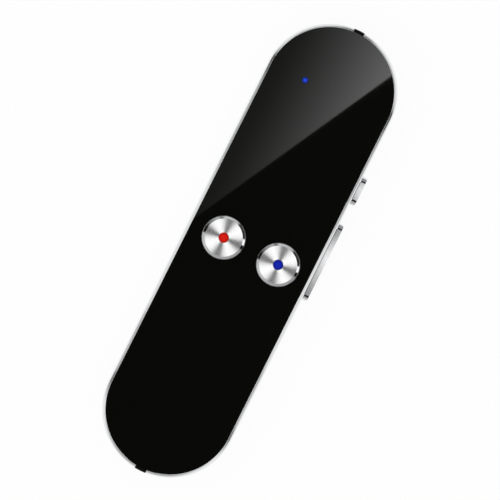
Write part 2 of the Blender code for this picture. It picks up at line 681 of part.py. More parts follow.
def cut_mid_frame(frame):
    """Cut the mid frame's key holes, light hole, key bays and end bays."""
    low, high = WEB_BOTTOM - CUT_OVERRUN, WEB_TOP + CUT_OVERRUN
    hole = FLANGE_RADIUS + KEY_GAP
    tab_half = FLANGE_RADIUS + KEY_TAB_REACH + KEY_GAP
    for x in (RED_KEY_X, BLUE_KEY_X):
        combine(frame, cylinder(hole, low, high, KEY_STEPS), "DIFFERENCE", (x, 0, 0))
        notch = centred_block(KEY_TAB_WIDTH + 2 * KEY_GAP, 2 * tab_half, low, high)
        combine(frame, notch, "DIFFERENCE", (x, 0, 0))
    light = cylinder(LIGHT_RADIUS + LIGHT_GAP, low, high)
    combine(frame, light, "DIFFERENCE", (LIGHT_X, LIGHT_Y, 0))
    for y, length in ((POWER_KEY_Y, POWER_KEY_LENGTH), (VOLUME_KEY_Y, VOLUME_KEY_LENGTH)):
        combine(frame, key_bay(length), "DIFFERENCE", (0, y, SIDE_KEY_Z))
    combine(frame, end_bay(1, BOARD_BOTTOM, END_BAY_TOP), "DIFFERENCE")
    combine(frame, end_bay(-1, BOARD_BOTTOM, END_BAY_TOP), "DIFFERENCE")


def grille_holes(radius):
    """Places of the grille's holes: one in the middle, and rings that gain as many each."""
    places = [(0.0, 0.0)]
    for ring in range(1, GRILLE_RINGS + 1):
        count = GRILLE_FIRST_RING * ring
        for hole in range(count):
            turn = math.tau * hole / count
            places.append((radius * ring * math.cos(turn), radius * ring * math.sin(turn)))
    return places


def build_rear_cover():
    """Rear cover: floor and wall, with the battery tray's ribs and the speaker's fence and grille."""
    levels = [(SHELL_RADIUS - COVER_EDGE, 0), (SHELL_RADIUS, COVER_EDGE)]
    levels += [(SHELL_RADIUS, COVER_WALL_TOP), (SHELL_INNER, COVER_WALL_TOP)]
    levels.append((SHELL_INNER, COVER_FLOOR))
    cover = solid("rear_cover", stadium_levels(levels), SATIN_BLACK)
    base = COVER_FLOOR - UNION_OVERLAP
    rib_half = BATTERY_HALF_WIDTH - TRAY_RIB_INSET
    rib_top = COVER_FLOOR + TRAY_RIB_HEIGHT
    for y in (BATTERY_LOW - SEAT_GAP - TRAY_RIB_THICKNESS, BATTERY_HIGH + SEAT_GAP):
        rib = block((-rib_half, y, base), (rib_half, y + TRAY_RIB_THICKNESS, rib_top))
        combine(cover, rib, "UNION")
    inner = SPEAKER_RADIUS + SPEAKER_FENCE_GAP
    outer = inner + SPEAKER_FENCE_WALL
    top = COVER_FLOOR + SPEAKER_FENCE_HEIGHT
    fence = turned([(inner, base), (outer, base), (outer, top), (inner, top)], KEY_STEPS, closed=True)
    combine(cover, fence, "UNION", (0, SPEAKER_Y, 0))
    holes = []
    for x, y in grille_holes(GRILLE_PITCH):
        hole = cylinder(GRILLE_HOLE_RADIUS, -CUT_OVERRUN, COVER_FLOOR + CUT_OVERRUN, HOLE_STEPS)
        bmesh.ops.translate(hole, vec=(x, y, 0), verts=hole.verts)
        holes.append(hole)
    combine(cover, merge_bodies(*holes), "DIFFERENCE", (0, SPEAKER_Y, 0))
    for y, length in ((POWER_KEY_Y, POWER_KEY_LENGTH), (VOLUME_KEY_Y, VOLUME_KEY_LENGTH)):
        combine(cover, key_bay(length), "DIFFERENCE", (0, y, SIDE_KEY_Z))
    bay_top = COVER_WALL_TOP + CUT_OVERRUN
    combine(cover, end_bay(1, COVER_FLOOR, bay_top), "DIFFERENCE")
    combine(cover, end_bay(-1, COVER_FLOOR, bay_top), "DIFFERENCE")


def insert_body():
    """The ring that the end inserts are cut from: the band's section, sunk a little, run inwards."""
    levels = [(INSERT_INNER, 0)]
    levels += [(radius - INSERT_SINK, height) for radius, height in band_levels()[1:-2]]
    levels += [(radius - INSERT_SINK, height - INSERT_SINK) for radius, height in band_levels()[-2:]]
    levels[-1] = (BAND_INNER, levels[-1][1])
    levels += [(BAND_INNER, INSERT_STEP), (INSERT_INNER, INSERT_STEP)]
    return stadium_levels(levels, closed=True)


def build_top_insert():
    """Top insert: the black piece across the rim, with the microphone's sound hole."""
    insert = solid("top_insert", insert_body(), SATIN_BLACK)
    combine(insert, insert_slot(1, INSERT_GAP), "INTERSECT")
    half = INSERT_FLANGE_HALF
    low = (-half, INSERT_FLANGE_Y - INSERT_FLANGE_THICKNESS, COVER_FLOOR + SEAT_GAP)
    high = (half, INSERT_FLANGE_Y, BOARD_BOTTOM - SEAT_GAP)
    combine(insert, block(low, high), "UNION")
    hole = cylinder(SOUND_HOLE_RADIUS, END_CENTRE, END_CENTRE + CASE_RADIUS + CUT_OVERRUN, HOLE_STEPS)
    combine(insert, face_end(hole, 1), "DIFFERENCE", (0, 0, BOOT_Z))


def build_bottom_insert():
    """Bottom insert: the black piece across the rim, which surrounds the charging port."""
    insert = solid("bottom_insert", insert_body(), SATIN_BLACK)
    surround = port_window(PORT_GAP + PORT_SURROUND - INSERT_GAP)
    shape = solid("bottom_insert_shape", surround, round_piece=False)
    combine(shape, insert_slot(-1, INSERT_GAP), "UNION")
    apply_tool(insert, shape, "INTERSECT")
    combine(insert, port_window(PORT_GAP), "DIFFERENCE")


def build_port():
    """Charging port: the sheet shell and the tongue in its mouth."""
    half_x, half_z = PORT_WIDTH / 2, PORT_HEIGHT / 2
    mouth, back = -PORT_MOUTH, -PORT_MOUTH + PORT_LENGTH
    outer = port_outline(half_x, half_z, mouth, back)
    shell = solid("usb_shell", outer, PLATED_STEEL, round_piece=False)
    inner_x, inner_z = half_x - PORT_SHELL, half_z - PORT_SHELL
    hollow = port_outline(inner_x, inner_z, mouth - CUT_OVERRUN, back + CUT_OVERRUN)
    combine(shell, hollow, "DIFFERENCE")
    core = port_outline(inner_x - GLUE_GAP, inner_z - GLUE_GAP, back - TONGUE_BLOCK, back)
    tongue = solid("usb_tongue", core, DARK_PLASTIC, round_piece=False)
    low = (-TONGUE_WIDTH / 2, mouth + TONGUE_SETBACK, PORT_Z - TONGUE_THICKNESS / 2)
    high = (TONGUE_WIDTH / 2, back - TONGUE_BLOCK + UNION_OVERLAP, PORT_Z + TONGUE_THICKNESS / 2)
    combine(tongue, block(low, high), "UNION")


def key_cap_profile():
    """Profile of a round key cap: dot recess, dished face, chamfer, flange and inner boss."""
    recess = DOT_RADIUS + DOT_GAP
    rim = KEY_RADIUS - KEY_CHAMFER
    hollow = KEY_RADIUS - KEY_WALL
    profile = [(0, KEY_TOP - DOT_RECESS), (recess, KEY_TOP - DOT_RECESS)]
    profile += [(recess, KEY_TOP - KEY_DISH), (rim, KEY_TOP)]
    profile += [(KEY_RADIUS, KEY_TOP - KEY_CHAMFER_FALL), (KEY_RADIUS, FLANGE_TOP)]
    profile += [(FLANGE_RADIUS, FLANGE_TOP), (FLANGE_RADIUS, FLANGE_BOTTOM)]
    profile += [(hollow, FLANGE_BOTTOM), (hollow, KEY_TOP - KEY_ROOF)]
    profile += [(KEY_BOSS_RADIUS, KEY_TOP - KEY_ROOF), (KEY_BOSS_RADIUS, KEY_BOSS_TIP)]
    profile.append((0, KEY_BOSS_TIP))
    return profile


def dot_profile():
    """Profile of the domed dot in a key cap."""
    bottom = KEY_TOP - DOT_RECESS + GLUE_GAP
    shoulder = KEY_TOP + DOT_STAND - DOT_CROWN
    profile = [(0, bottom), (DOT_RADIUS, bottom), (DOT_RADIUS, shoulder)]
    return profile + dome(DOT_RADIUS, shoulder, DOT_CROWN)


def build_key(name, x, enamel):
    """One round key: its cap and dot, and the switch that it presses."""
    carrier = empty(f"{name}_key", (x, 0, 0))
    cap = solid(f"{name}_key_cap", turned(key_cap_profile(), KEY_STEPS), SPUN_ALUMINIUM, parent=carrier)
    tab = 2 * (FLANGE_RADIUS + KEY_TAB_REACH)
    inside = 2 * (KEY_RADIUS - KEY_WALL + UNION_OVERLAP)
    for side in (1, -1):
        ends = sorted((side * inside / 2, side * tab / 2))
        low = (-KEY_TAB_WIDTH / 2, ends[0], FLANGE_BOTTOM + GLUE_GAP)
        high = (KEY_TAB_WIDTH / 2, ends[1], FLANGE_TOP - GLUE_GAP)
        combine(cap, block(low, high), "UNION", parent=carrier)
    solid(f"{name}_key_dot", turned(dot_profile(), ROUND_STEPS), enamel, parent=carrier)
    build_key_switch(name, x, carrier)


def build_key_switch(name, x, carrier):
    """The switch below a round key: a base on the board and a plunger that it holds captive."""
    base = centred_block(SWITCH_SIDE, SWITCH_SIDE, SWITCH_BOTTOM, SWITCH_TOP, SWITCH_EDGE)
    switch = solid(f"{name}_switch_base", base, PLATED_STEEL, (x, 0, 0), round_piece=False)
    floor = SWITCH_BOTTOM + SWITCH_FLOOR
    ceiling = SWITCH_TOP - SWITCH_COVER
    neck = SWITCH_PLUNGER_RADIUS + SWITCH_PLUNGER_GAP
    room = SWITCH_PLUNGER_RADIUS + SWITCH_PLUNGER_FLANGE + SWITCH_PLUNGER_GAP
    above = SWITCH_TOP + CUT_OVERRUN
    bore = [(0, floor), (room, floor), (room, ceiling), (neck, ceiling), (neck, above), (0, above)]
    combine(switch, turned(bore, ROUND_STEPS), "DIFFERENCE", (x, 0, 0))
    reach = SWITCH_SIDE / 2 + SWITCH_LEG_REACH
    for side in (1, -1):
        y = side * (SWITCH_SIDE / 2 - SWITCH_LEG_WIDTH)
        leg = centred_block(2 * reach, SWITCH_LEG_WIDTH, SWITCH_BOTTOM, SWITCH_BOTTOM + SWITCH_LEG_THICKNESS)
        combine(switch, leg, "UNION", (x, y, 0))
    low = floor + KEY_TRAVEL + GLUE_GAP
    collar = ceiling - GLUE_GAP
    wide = SWITCH_PLUNGER_RADIUS + SWITCH_PLUNGER_FLANGE
    profile = [(0, low), (wide, low), (wide, collar), (SWITCH_PLUNGER_RADIUS, collar)]
    profile += [(SWITCH_PLUNGER_RADIUS, PLUNGER_TOP), (0, PLUNGER_TOP)]
    solid(f"{name}_switch_plunger", turned(profile, ROUND_STEPS), DARK_PLASTIC, parent=carrier)


def side_key_body(length):
    """A side key: flange inside the band, pill-shaped head through it, and a chamfered face."""
    face = CASE_RADIUS + SIDE_KEY_STAND
    levels = [(SIDE_FLANGE_REACH, SIDE_FLANGE_IN), (SIDE_FLANGE_REACH, SIDE_FLANGE_OUT)]
    levels += [(0, SIDE_FLANGE_OUT), (0, face - SIDE_KEY_CHAMFER), (-SIDE_KEY_CHAMFER, face)]
    return side_key_levels(length, levels)


def add_stem(key, y, parent):
    """Join a stem to the inside of a side key, where it meets a switch's plunger."""
    half_y, half_z = SIDE_STEM_WIDTH / 2, SIDE_STEM_HEIGHT / 2
    low = (SIDE_STEM_TIP, y - half_y, -half_z)
    high = (SIDE_FLANGE_IN + UNION_OVERLAP, y + half_y, half_z)
    bm = block(low, high)
    bmesh.ops.translate(bm, vec=key.location, verts=bm.verts)
    combine(key, bm, "UNION", parent=parent)


def build_side_switch(name, y, carrier):
    """The switch behind a side key: a base below the board's edge and its plunger."""
    top = BOARD_BOTTOM - GLUE_GAP
    half = SIDE_SWITCH_WIDTH / 2
    low = (SIDE_SWITCH_FRONT - SIDE_SWITCH_DEPTH, -half, top - SIDE_SWITCH_HEIGHT)
    high = (SIDE_SWITCH_FRONT, half, top)
    base = block(low, high, SIDE_SWITCH_EDGE)
    switch = solid(f"{name}_switch_base", base, PLATED_STEEL, (0, y, 0), round_piece=False)
    inner = SIDE_PLUNGER_TIP - SIDE_PLUNGER_LENGTH
    wide = SIDE_PLUNGER_WIDTH / 2
    tall = SIDE_PLUNGER_HEIGHT / 2
    gap = SIDE_PLUNGER_GAP
    pocket_low = (inner - SIDE_PLUNGER_ROOM, -wide - gap, SIDE_KEY_Z - tall - gap)
    pocket_high = (SIDE_SWITCH_FRONT + CUT_OVERRUN, wide + gap, SIDE_KEY_Z + tall + gap)
    combine(switch, block(pocket_low, pocket_high), "DIFFERENCE", (0, y, 0))
    x, carrier_y, z = carrier.location
    plunger = block((inner, y - wide, SIDE_KEY_Z - tall), (SIDE_PLUNGER_TIP, y + wide, SIDE_KEY_Z + tall))
    bmesh.ops.translate(plunger, vec=(-x, -carrier_y, -z), verts=plunger.verts)
    solid(f"{name}_switch_plunger", plunger, DARK_PLASTIC, parent=carrier, round_piece=False)


def build_power_key():
    """Power key: slides into the case against its switch."""
    carrier = empty("power", (0, POWER_KEY_Y, SIDE_KEY_Z))
    key = solid("power_key", side_key_body(POWER_KEY_LENGTH), CHROME, parent=carrier)
    add_stem(key, 0, carrier)
    build_side_switch("power", POWER_KEY_Y, carrier)


def build_volume_key():
    """Volume key: rocks on a round nub, seated in the rib's groove, and presses either switch."""
    carrier = empty("volume", (PIVOT_X, VOLUME_KEY_Y, SIDE_KEY_Z))
    key = solid("volume_key", side_key_body(VOLUME_KEY_LENGTH), CHROME, (-PIVOT_X, 0, 0), carrier)
    for offset in (VOLUME_STEM_OFFSET, -VOLUME_STEM_OFFSET):
        add_stem(key, offset, carrier)
    half = SIDE_STEM_HEIGHT / 2
    nub = cylinder(PIVOT_NUB_RADIUS, -half, half, HOLE_STEPS)
    combine(key, nub, "UNION", parent=carrier)
    for name, y in (("volume_up", VOLUME_UP_Y), ("volume_down", VOLUME_DOWN_Y)):
        slider = empty(f"{name}_slider", (SIDE_PLUNGER_TIP, y, SIDE_KEY_Z))
        build_side_switch(name, y, slider)


def build_board():
    """Main board, with its screw holes and a notch that the pivot's rib passes."""
    levels = [(BOARD_RADIUS, BOARD_BOTTOM), (BOARD_RADIUS, BOARD_TOP)]
    board = solid("main_board", stadium_levels(levels, steps=ROUND_STEPS), BOARD_GREEN)
    low, high = BOARD_BOTTOM - CUT_OVERRUN, BOARD_TOP + CUT_OVERRUN
    for x, y in screw_places():
        hole = cylinder(SCREW_RADIUS + SCREW_CLEARANCE, low, high, HOLE_STEPS)
        combine(board, hole, "DIFFERENCE", (x, y, 0))
    combine(board, pivot_rib(SEAT_GAP, low, high), "DIFFERENCE")


def build_screws():
    """Board screws: a flat head below the board, with a round drive recess."""
    head_top = BOARD_BOTTOM - GLUE_GAP
    head_low = head_top - SCREW_HEAD_HEIGHT
    recess = head_low + SCREW_RECESS_DEPTH
    tip = BOARD_BOTTOM + SCREW_BITE
    profile = [(0, recess), (SCREW_RECESS_RADIUS, recess), (SCREW_RECESS_RADIUS, head_low)]
    profile += [(SCREW_HEAD_RADIUS, head_low), (SCREW_HEAD_RADIUS, head_top)]
    profile += [(SCREW_RADIUS, head_top), (SCREW_RADIUS, tip), (0, tip)]
    for number, (x, y) in enumerate(screw_places(), start=1):
        solid(f"board_screw_{number}", turned(profile, HOLE_STEPS), PLATED_STEEL, (x, y, 0))


def smooth_route(points, steps):
    """Points on a smooth curve through a lead's own points (Catmull-Rom)."""
    padded = [points[0], *points, points[-1]]
    route = []
    for a, b, c, d in zip(padded, padded[1:], padded[2:], padded[3:]):
        for step in range(steps):
            t = step / steps
            route.append([
                0.5 * (2 * q + (r - p) * t + (2 * p - 5 * q + 4 * r - s) * t ** 2
                       + (3 * q - p - 3 * r + s) * t ** 3)
                for p, q, r, s in zip(a, b, c, d)
            ])
    return route + [list(points[-1])]


def lead(name, points, finish):
    """A short insulated lead, round, through its points."""
    curve = bpy.data.curves.new(name, "CURVE")
    curve.dimensions = "3D"
    curve.bevel_depth = LEAD_RADIUS
    curve.bevel_resolution = LEAD_SIDES_LEVEL
    curve.use_fill_caps = True
    route = smooth_route(points, LEAD_STEPS)
    spline = curve.splines.new("POLY")
    spline.points.add(len(route) - 1)
    for point, place in zip(spline.points, route):
        point.co = (*place, 1)
    add_object(name, curve, finish)


def build_battery():
    """Battery: the cell on its pad, its connector below the board and its two leads."""
    wide = BATTERY_HALF_WIDTH
    cell = block((-wide, BATTERY_LOW, BATTERY_BOTTOM), (wide, BATTERY_HIGH, BATTERY_TOP), BATTERY_EDGE)
    solid("battery", cell, BATTERY_FOIL, round_piece=False)
    margin = PAD_MARGIN
    low = (-wide + margin, BATTERY_LOW + margin, PAD_BOTTOM)
    high = (wide - margin, BATTERY_HIGH - margin, PAD_BOTTOM + PAD_THICKNESS)
    solid("battery_pad", block(low, high), FOAM, round_piece=False)
    top = BOARD_BOTTOM - GLUE_GAP
    plug = centred_block(CONNECTOR_WIDTH, CONNECTOR_LENGTH, top - CONNECTOR_HEIGHT, top, CONNECTOR_EDGE)
    plug_y = BATTERY_HIGH + CONNECTOR_AHEAD
    solid("battery_connector", plug, CONNECTOR_CREAM, (CONNECTOR_X, plug_y, 0), round_piece=False)
    rise = top - CONNECTOR_HEIGHT / 2
    start = BATTERY_HIGH + SEAT_GAP
    end = plug_y - CONNECTOR_LENGTH / 2 - SEAT_GAP
    bend = (end - start) / 4
    low_z = rise - LEAD_RADIUS
    for side, name, finish in ((-1, "red", LEAD_RED), (1, "black", LEAD_BLACK)):
        x = CONNECTOR_X + side * LEAD_SPACING / 2
        bow = (x + side * LEAD_RADIUS, start + 2 * bend, low_z + LEAD_RADIUS / 2)
        points = [(x, start, low_z), (x, start + bend, low_z), bow, (x, end - bend, rise), (x, end, rise)]
        lead(f"battery_lead_{name}", points, finish)


def build_speaker():
    """Speaker: basket, diaphragm, magnet, gasket and dust mesh, with two leads to the board."""
    place = (0, SPEAKER_Y, 0)
    bore = SPEAKER_RADIUS - SPEAKER_RIM
    ring = MAGNET_RADIUS + MAGNET_CLEARANCE
    shelf = SPEAKER_TOP - SPEAKER_BACK
    basket = [(bore, SPEAKER_BOTTOM), (SPEAKER_RADIUS, SPEAKER_BOTTOM), (SPEAKER_RADIUS, SPEAKER_TOP)]
    basket += [(ring, SPEAKER_TOP), (ring, shelf), (bore, shelf)]
    solid("speaker_basket", turned(basket, SPEAKER_STEPS, closed=True), DARK_PLASTIC, place)
    low = SPEAKER_BOTTOM + DIAPHRAGM_LIFT
    edge = bore - SEAT_GAP
    skin_top = low + DIAPHRAGM_THICKNESS
    sheet = [(0, low + DIAPHRAGM_DOME_RISE), (DIAPHRAGM_DOME, low), (edge, low), (edge, skin_top)]
    sheet += [(DIAPHRAGM_DOME, skin_top), (0, skin_top + DIAPHRAGM_DOME_RISE)]
    solid("speaker_diaphragm", turned(sheet, ROUND_STEPS), DIAPHRAGM_FILM, place)
    magnet_low = skin_top + DIAPHRAGM_DOME_RISE + SEAT_GAP
    magnet = [(0, magnet_low), (MAGNET_RADIUS, magnet_low), (MAGNET_RADIUS, MAGNET_TOP - MAGNET_EDGE)]
    magnet += [(MAGNET_RADIUS - MAGNET_EDGE, MAGNET_TOP), (0, MAGNET_TOP)]
    solid("speaker_magnet", turned(magnet, ROUND_STEPS), PLATED_STEEL, place)
    inner = SPEAKER_RADIUS - SPEAKER_GASKET_WIDTH
    gasket_top = GASKET_BOTTOM + SPEAKER_GASKET
    gasket = [(inner, GASKET_BOTTOM), (SPEAKER_RADIUS, GASKET_BOTTOM), (SPEAKER_RADIUS, gasket_top)]
    gasket.append((inner, gasket_top))
    solid("speaker_gasket", turned(gasket, ROUND_STEPS, closed=True), FOAM, place)
    cover = GRILLE_PITCH * GRILLE_RINGS + GRILLE_HOLE_RADIUS + MESH_MARGIN
    mesh_top = GASKET_BOTTOM + MESH_THICKNESS
    solid("speaker_mesh", cylinder(cover, GASKET_BOTTOM, mesh_top), DARK_PLASTIC, place)
    start_y = SPEAKER_Y - SPEAKER_RADIUS - SEAT_GAP
    height = SPEAKER_TOP - LEAD_RADIUS
    end_z = BOARD_BOTTOM - SEAT_GAP
    bend = SPEAKER_LEAD_RUN / 3
    for side, name, finish in ((-1, "red", LEAD_RED), (1, "black", LEAD_BLACK)):
        x = side * SPEAKER_LEAD_X
        points = [(x, start_y, height), (x, start_y - bend, height)]
        points += [(x, start_y - 2 * bend, (height + end_z) / 2), (x, start_y - 3 * bend, end_z - bend / 2)]
        points.append((x, start_y - 3 * bend, end_z))
        lead(f"speaker_lead_{name}", points, finish)


def build_microphone():
    """Microphone capsule in its rubber boot, behind the top insert's sound hole."""
    front = BOOT_FRONT
    back = front - BOOT_LENGTH
    inner = BOOT_RADIUS - BOOT_WALL
    cup = [(SOUND_HOLE_RADIUS, front), (SOUND_HOLE_RADIUS, front - BOOT_FACE), (inner, front - BOOT_FACE)]
    cup += [(inner, back), (BOOT_RADIUS, back), (BOOT_RADIUS, front)]
    boot = face_end(turned(cup, ROUND_STEPS, closed=True), 1)
    solid("microphone_boot", boot, RUBBER, (0, 0, BOOT_Z))
    radius = inner - GLUE_GAP
    face = front - BOOT_FACE - GLUE_GAP
    rear = face - MICROPHONE_LENGTH
    can = [(0, rear), (radius, rear), (radius, face - MICROPHONE_EDGE), (radius - MICROPHONE_EDGE, face)]
    can.append((0, face))
    solid("microphone", face_end(turned(can, ROUND_STEPS), 1), PLATED_STEEL, (0, 0, BOOT_Z))


def build_light():
    """Status light: a light pipe through the panel, over an LED on the board."""
    place = (LIGHT_X, LIGHT_Y, 0)
    top = PANEL_TOP + LIGHT_STAND
    flange_top = WEB_BOTTOM - GLUE_GAP
    flange_low = flange_top - LIGHT_FLANGE_THICKNESS
    wide = LIGHT_RADIUS + LIGHT_FLANGE
    shoulder = top - LIGHT_CROWN
    pipe = [(0, flange_low), (wide, flange_low), (wide, flange_top), (LIGHT_RADIUS, flange_top)]
    pipe += [(LIGHT_RADIUS, shoulder), *dome(LIGHT_RADIUS, shoulder, LIGHT_CROWN)]
    solid("led_light_pipe", turned(pipe, ROUND_STEPS), BLUE_CLEAR, place)
    low = BOARD_TOP + GLUE_GAP
    chip = centred_block(LED_SIDE, LED_SIDE, low, low + LED_HEIGHT, LED_EDGE)
    solid("status_led", chip, LED_WHITE, place, round_piece=False)


def build_chips():
    """Shield can with the processor and memory below it, the crystal and the antenna."""
    low = BOARD_TOP + GLUE_GAP
    high = low + SHIELD_HEIGHT
    outer = [(0, low), (0, high - SHIELD_EDGE), (SHIELD_EDGE, high)]
    can = cut_corner_block(SHIELD_WIDTH / 2, SHIELD_LOW_Y, SHIELD_TOP_Y, SHIELD_CORNER, outer)
    shield = solid("shield_can", can, PLATED_STEEL, round_piece=False)
    inner = [(SHIELD_WALL, low - CUT_OVERRUN), (SHIELD_WALL, high - SHIELD_EDGE)]
    inner.append((SHIELD_EDGE, high - SHIELD_WALL))
    corner = SHIELD_CORNER - SHIELD_WALL / 2
    hollow = cut_corner_block(SHIELD_WIDTH / 2, SHIELD_LOW_Y, SHIELD_TOP_Y, corner, inner)
    combine(shield, hollow, "DIFFERENCE")
    turn = math.radians(ANTENNA_DEGREES)
    antenna = (ANTENNA_CIRCLE * math.sin(turn), END_CENTRE + ANTENNA_CIRCLE * math.cos(turn), 0)
    chips = (
        ("processor", PROCESSOR_SIDE, PROCESSOR_SIDE, (0, PROCESSOR_Y, 0), DARK_PLASTIC),
        ("memory_chip", MEMORY_WIDTH, MEMORY_LENGTH, (0, MEMORY_Y, 0), DARK_PLASTIC),
        ("crystal", CRYSTAL_WIDTH, CRYSTAL_LENGTH, (CRYSTAL_X, CRYSTAL_Y, 0), PLATED_STEEL),
        ("antenna", ANTENNA_WIDTH, ANTENNA_LENGTH, antenna, CERAMIC),
    )
    for name, width, length, place, finish in chips:
        chip = centred_block(width, length, low, low + CHIP_HEIGHT, CHIP_EDGE)
        solid(name, chip, finish, place, round_piece=False)


def main():
    """Build the whole translator."""
    clear_scene()
    build_band()
    build_panel()
    build_mid_frame()
    build_rear_cover()
    build_top_insert()
    build_bottom_insert()
    build_port()
    build_key("red", RED_KEY_X, RED_ENAMEL)
    build_key("blue", BLUE_KEY_X, BLUE_ENAMEL)
    build_power_key()
    build_volume_key()
    build_board()
    build_screws()
    build_battery()
    build_speaker()
    build_microphone()
    build_light()
    build_chips()


main()
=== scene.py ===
"""Studio scene of the handheld translator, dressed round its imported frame.

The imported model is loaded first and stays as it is. Every outside piece is then modelled again
with smooth surfaces at the place that its CAD node has, and rides on the same body. The inner
pieces stay, with materials of their own. Lengths are in metres, in the frame of the part: X points
to the side keys, Y to the status light and Z out of the face.
"""
import logging
import math
from dataclasses import dataclass, field
from enum import Enum
from typing import Callable, Optional, Sequence, Union

import bmesh
import bpy
from mathutils import Matrix, Vector


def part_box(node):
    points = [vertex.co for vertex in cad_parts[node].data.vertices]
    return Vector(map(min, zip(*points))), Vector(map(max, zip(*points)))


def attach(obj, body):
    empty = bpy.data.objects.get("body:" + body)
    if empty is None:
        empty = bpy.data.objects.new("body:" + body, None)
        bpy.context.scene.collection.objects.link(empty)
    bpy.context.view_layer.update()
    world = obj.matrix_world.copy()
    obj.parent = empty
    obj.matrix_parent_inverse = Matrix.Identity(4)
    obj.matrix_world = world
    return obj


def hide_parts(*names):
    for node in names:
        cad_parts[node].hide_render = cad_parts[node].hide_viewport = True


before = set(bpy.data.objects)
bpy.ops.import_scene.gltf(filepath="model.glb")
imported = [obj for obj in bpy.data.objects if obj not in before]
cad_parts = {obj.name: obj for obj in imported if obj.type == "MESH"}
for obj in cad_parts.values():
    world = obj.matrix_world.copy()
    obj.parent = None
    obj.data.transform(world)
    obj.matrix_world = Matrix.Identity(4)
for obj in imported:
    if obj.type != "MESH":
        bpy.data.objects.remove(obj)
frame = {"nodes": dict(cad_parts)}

log = logging.getLogger("translator")

FULL_TURN = math.tau
HALF_TURN = math.pi
QUARTER_TURN = math.pi / 2
RADIANS_PER_DEGREE = HALF_TURN / 180.0
DEGREES_PER_RADIAN = 180.0 / HALF_TURN

# Vertices closer than this are one, because a spin over many steps drifts a little.
WELD = 1e-6
# Past this angle an edge counts as a corner to round.
CORNER_ANGLE = 60
# An edge that turns by more than the first, in degrees, stays sharp where one of its faces is the
# second many times as large as the other, so that a rounding doesn't bend a flat face's shading.
FLAT_TURN = 0.5
FLAT_SHARE = 8

Number = Union[float, "Signal"]
Corner = tuple[float, float]


class Body(Enum):
    """The bodies of the frame that pieces ride on."""

    CASE = "case"
    RED_KEY = "red_key"
    BLUE_KEY = "blue_key"
    POWER_BUTTON = "power_button"
    VOLUME_ROCKER = "volume_rocker"


class End(Enum):
    """The two round ends of the case, as the sign of their Y."""

    LIGHT = 1
    PORT = -1


# Shader writing

class Signal:
    """A number, vector or colour of a node tree, which sums can use as if it were a value."""

    def __init__(self, graph: "Graph", socket: bpy.types.NodeSocket) -> None:
        """Wrap one output socket.

        Args:
            graph: The graph that the socket belongs to.
            socket: The output socket.
        """
        self.graph = graph
        self.socket = socket

    def math(self, operation: str, *others: Number) -> "Signal":
        """Work a Math or Vector Math operation on this signal.

        Args:
            operation: The name of the operation.
            others: The further operands.

        Returns:
            The result as a signal.
        """
        terms = (self, *others)
        vectors = [term for term in terms if isinstance(term, Signal) and term.is_vector()]
        kind = "ShaderNodeVectorMath" if vectors else "ShaderNodeMath"
        return self.graph.node(kind, {"operation": operation}, dict(enumerate(terms)))

    def is_vector(self) -> bool:
        """Tell whether the socket holds a vector or a colour."""
        return self.socket.type in {"VECTOR", "RGBA"}

    def __add__(self, other: Number) -> "Signal":
        """Add."""
        return self.math("ADD", other)

    __radd__ = __add__

    def __sub__(self, other: Number) -> "Signal":
        """Subtract."""
        return self.math("SUBTRACT", other)

    def __rsub__(self, other: float) -> "Signal":
        """Subtract this signal from a number."""
        return self * -1.0 + other

    def __mul__(self, other: Number) -> "Signal":
        """Multiply."""
        return self.math("MULTIPLY", other)

    __rmul__ = __mul__

    def __truediv__(self, other: Number) -> "Signal":
        """Divide."""
        return self.math("DIVIDE", other)

    def __pow__(self, exponent: float) -> "Signal":
        """Raise to a power."""
        return self.math("POWER", exponent)

    def part(self, axis: str) -> "Signal":
        """Take one coordinate, X, Y or Z, of a vector."""
        return self.graph.node("ShaderNodeSeparateXYZ", inputs={0: self}, output=axis)

    def step(self, low: float, high: float) -> "Signal":
        """Rise smoothly from 0 to 1 between two values, or fall when they are given in reverse."""
        if low > high:
            return 1 - self.step(high, low)
        settings = {"interpolation_type": "SMOOTHSTEP"}
        values = {"Value": self, "From Min": low, "From Max": high, "To Min": 0.0, "To Max": 1.0}
        return self.graph.node("ShaderNodeMapRange", settings, values)


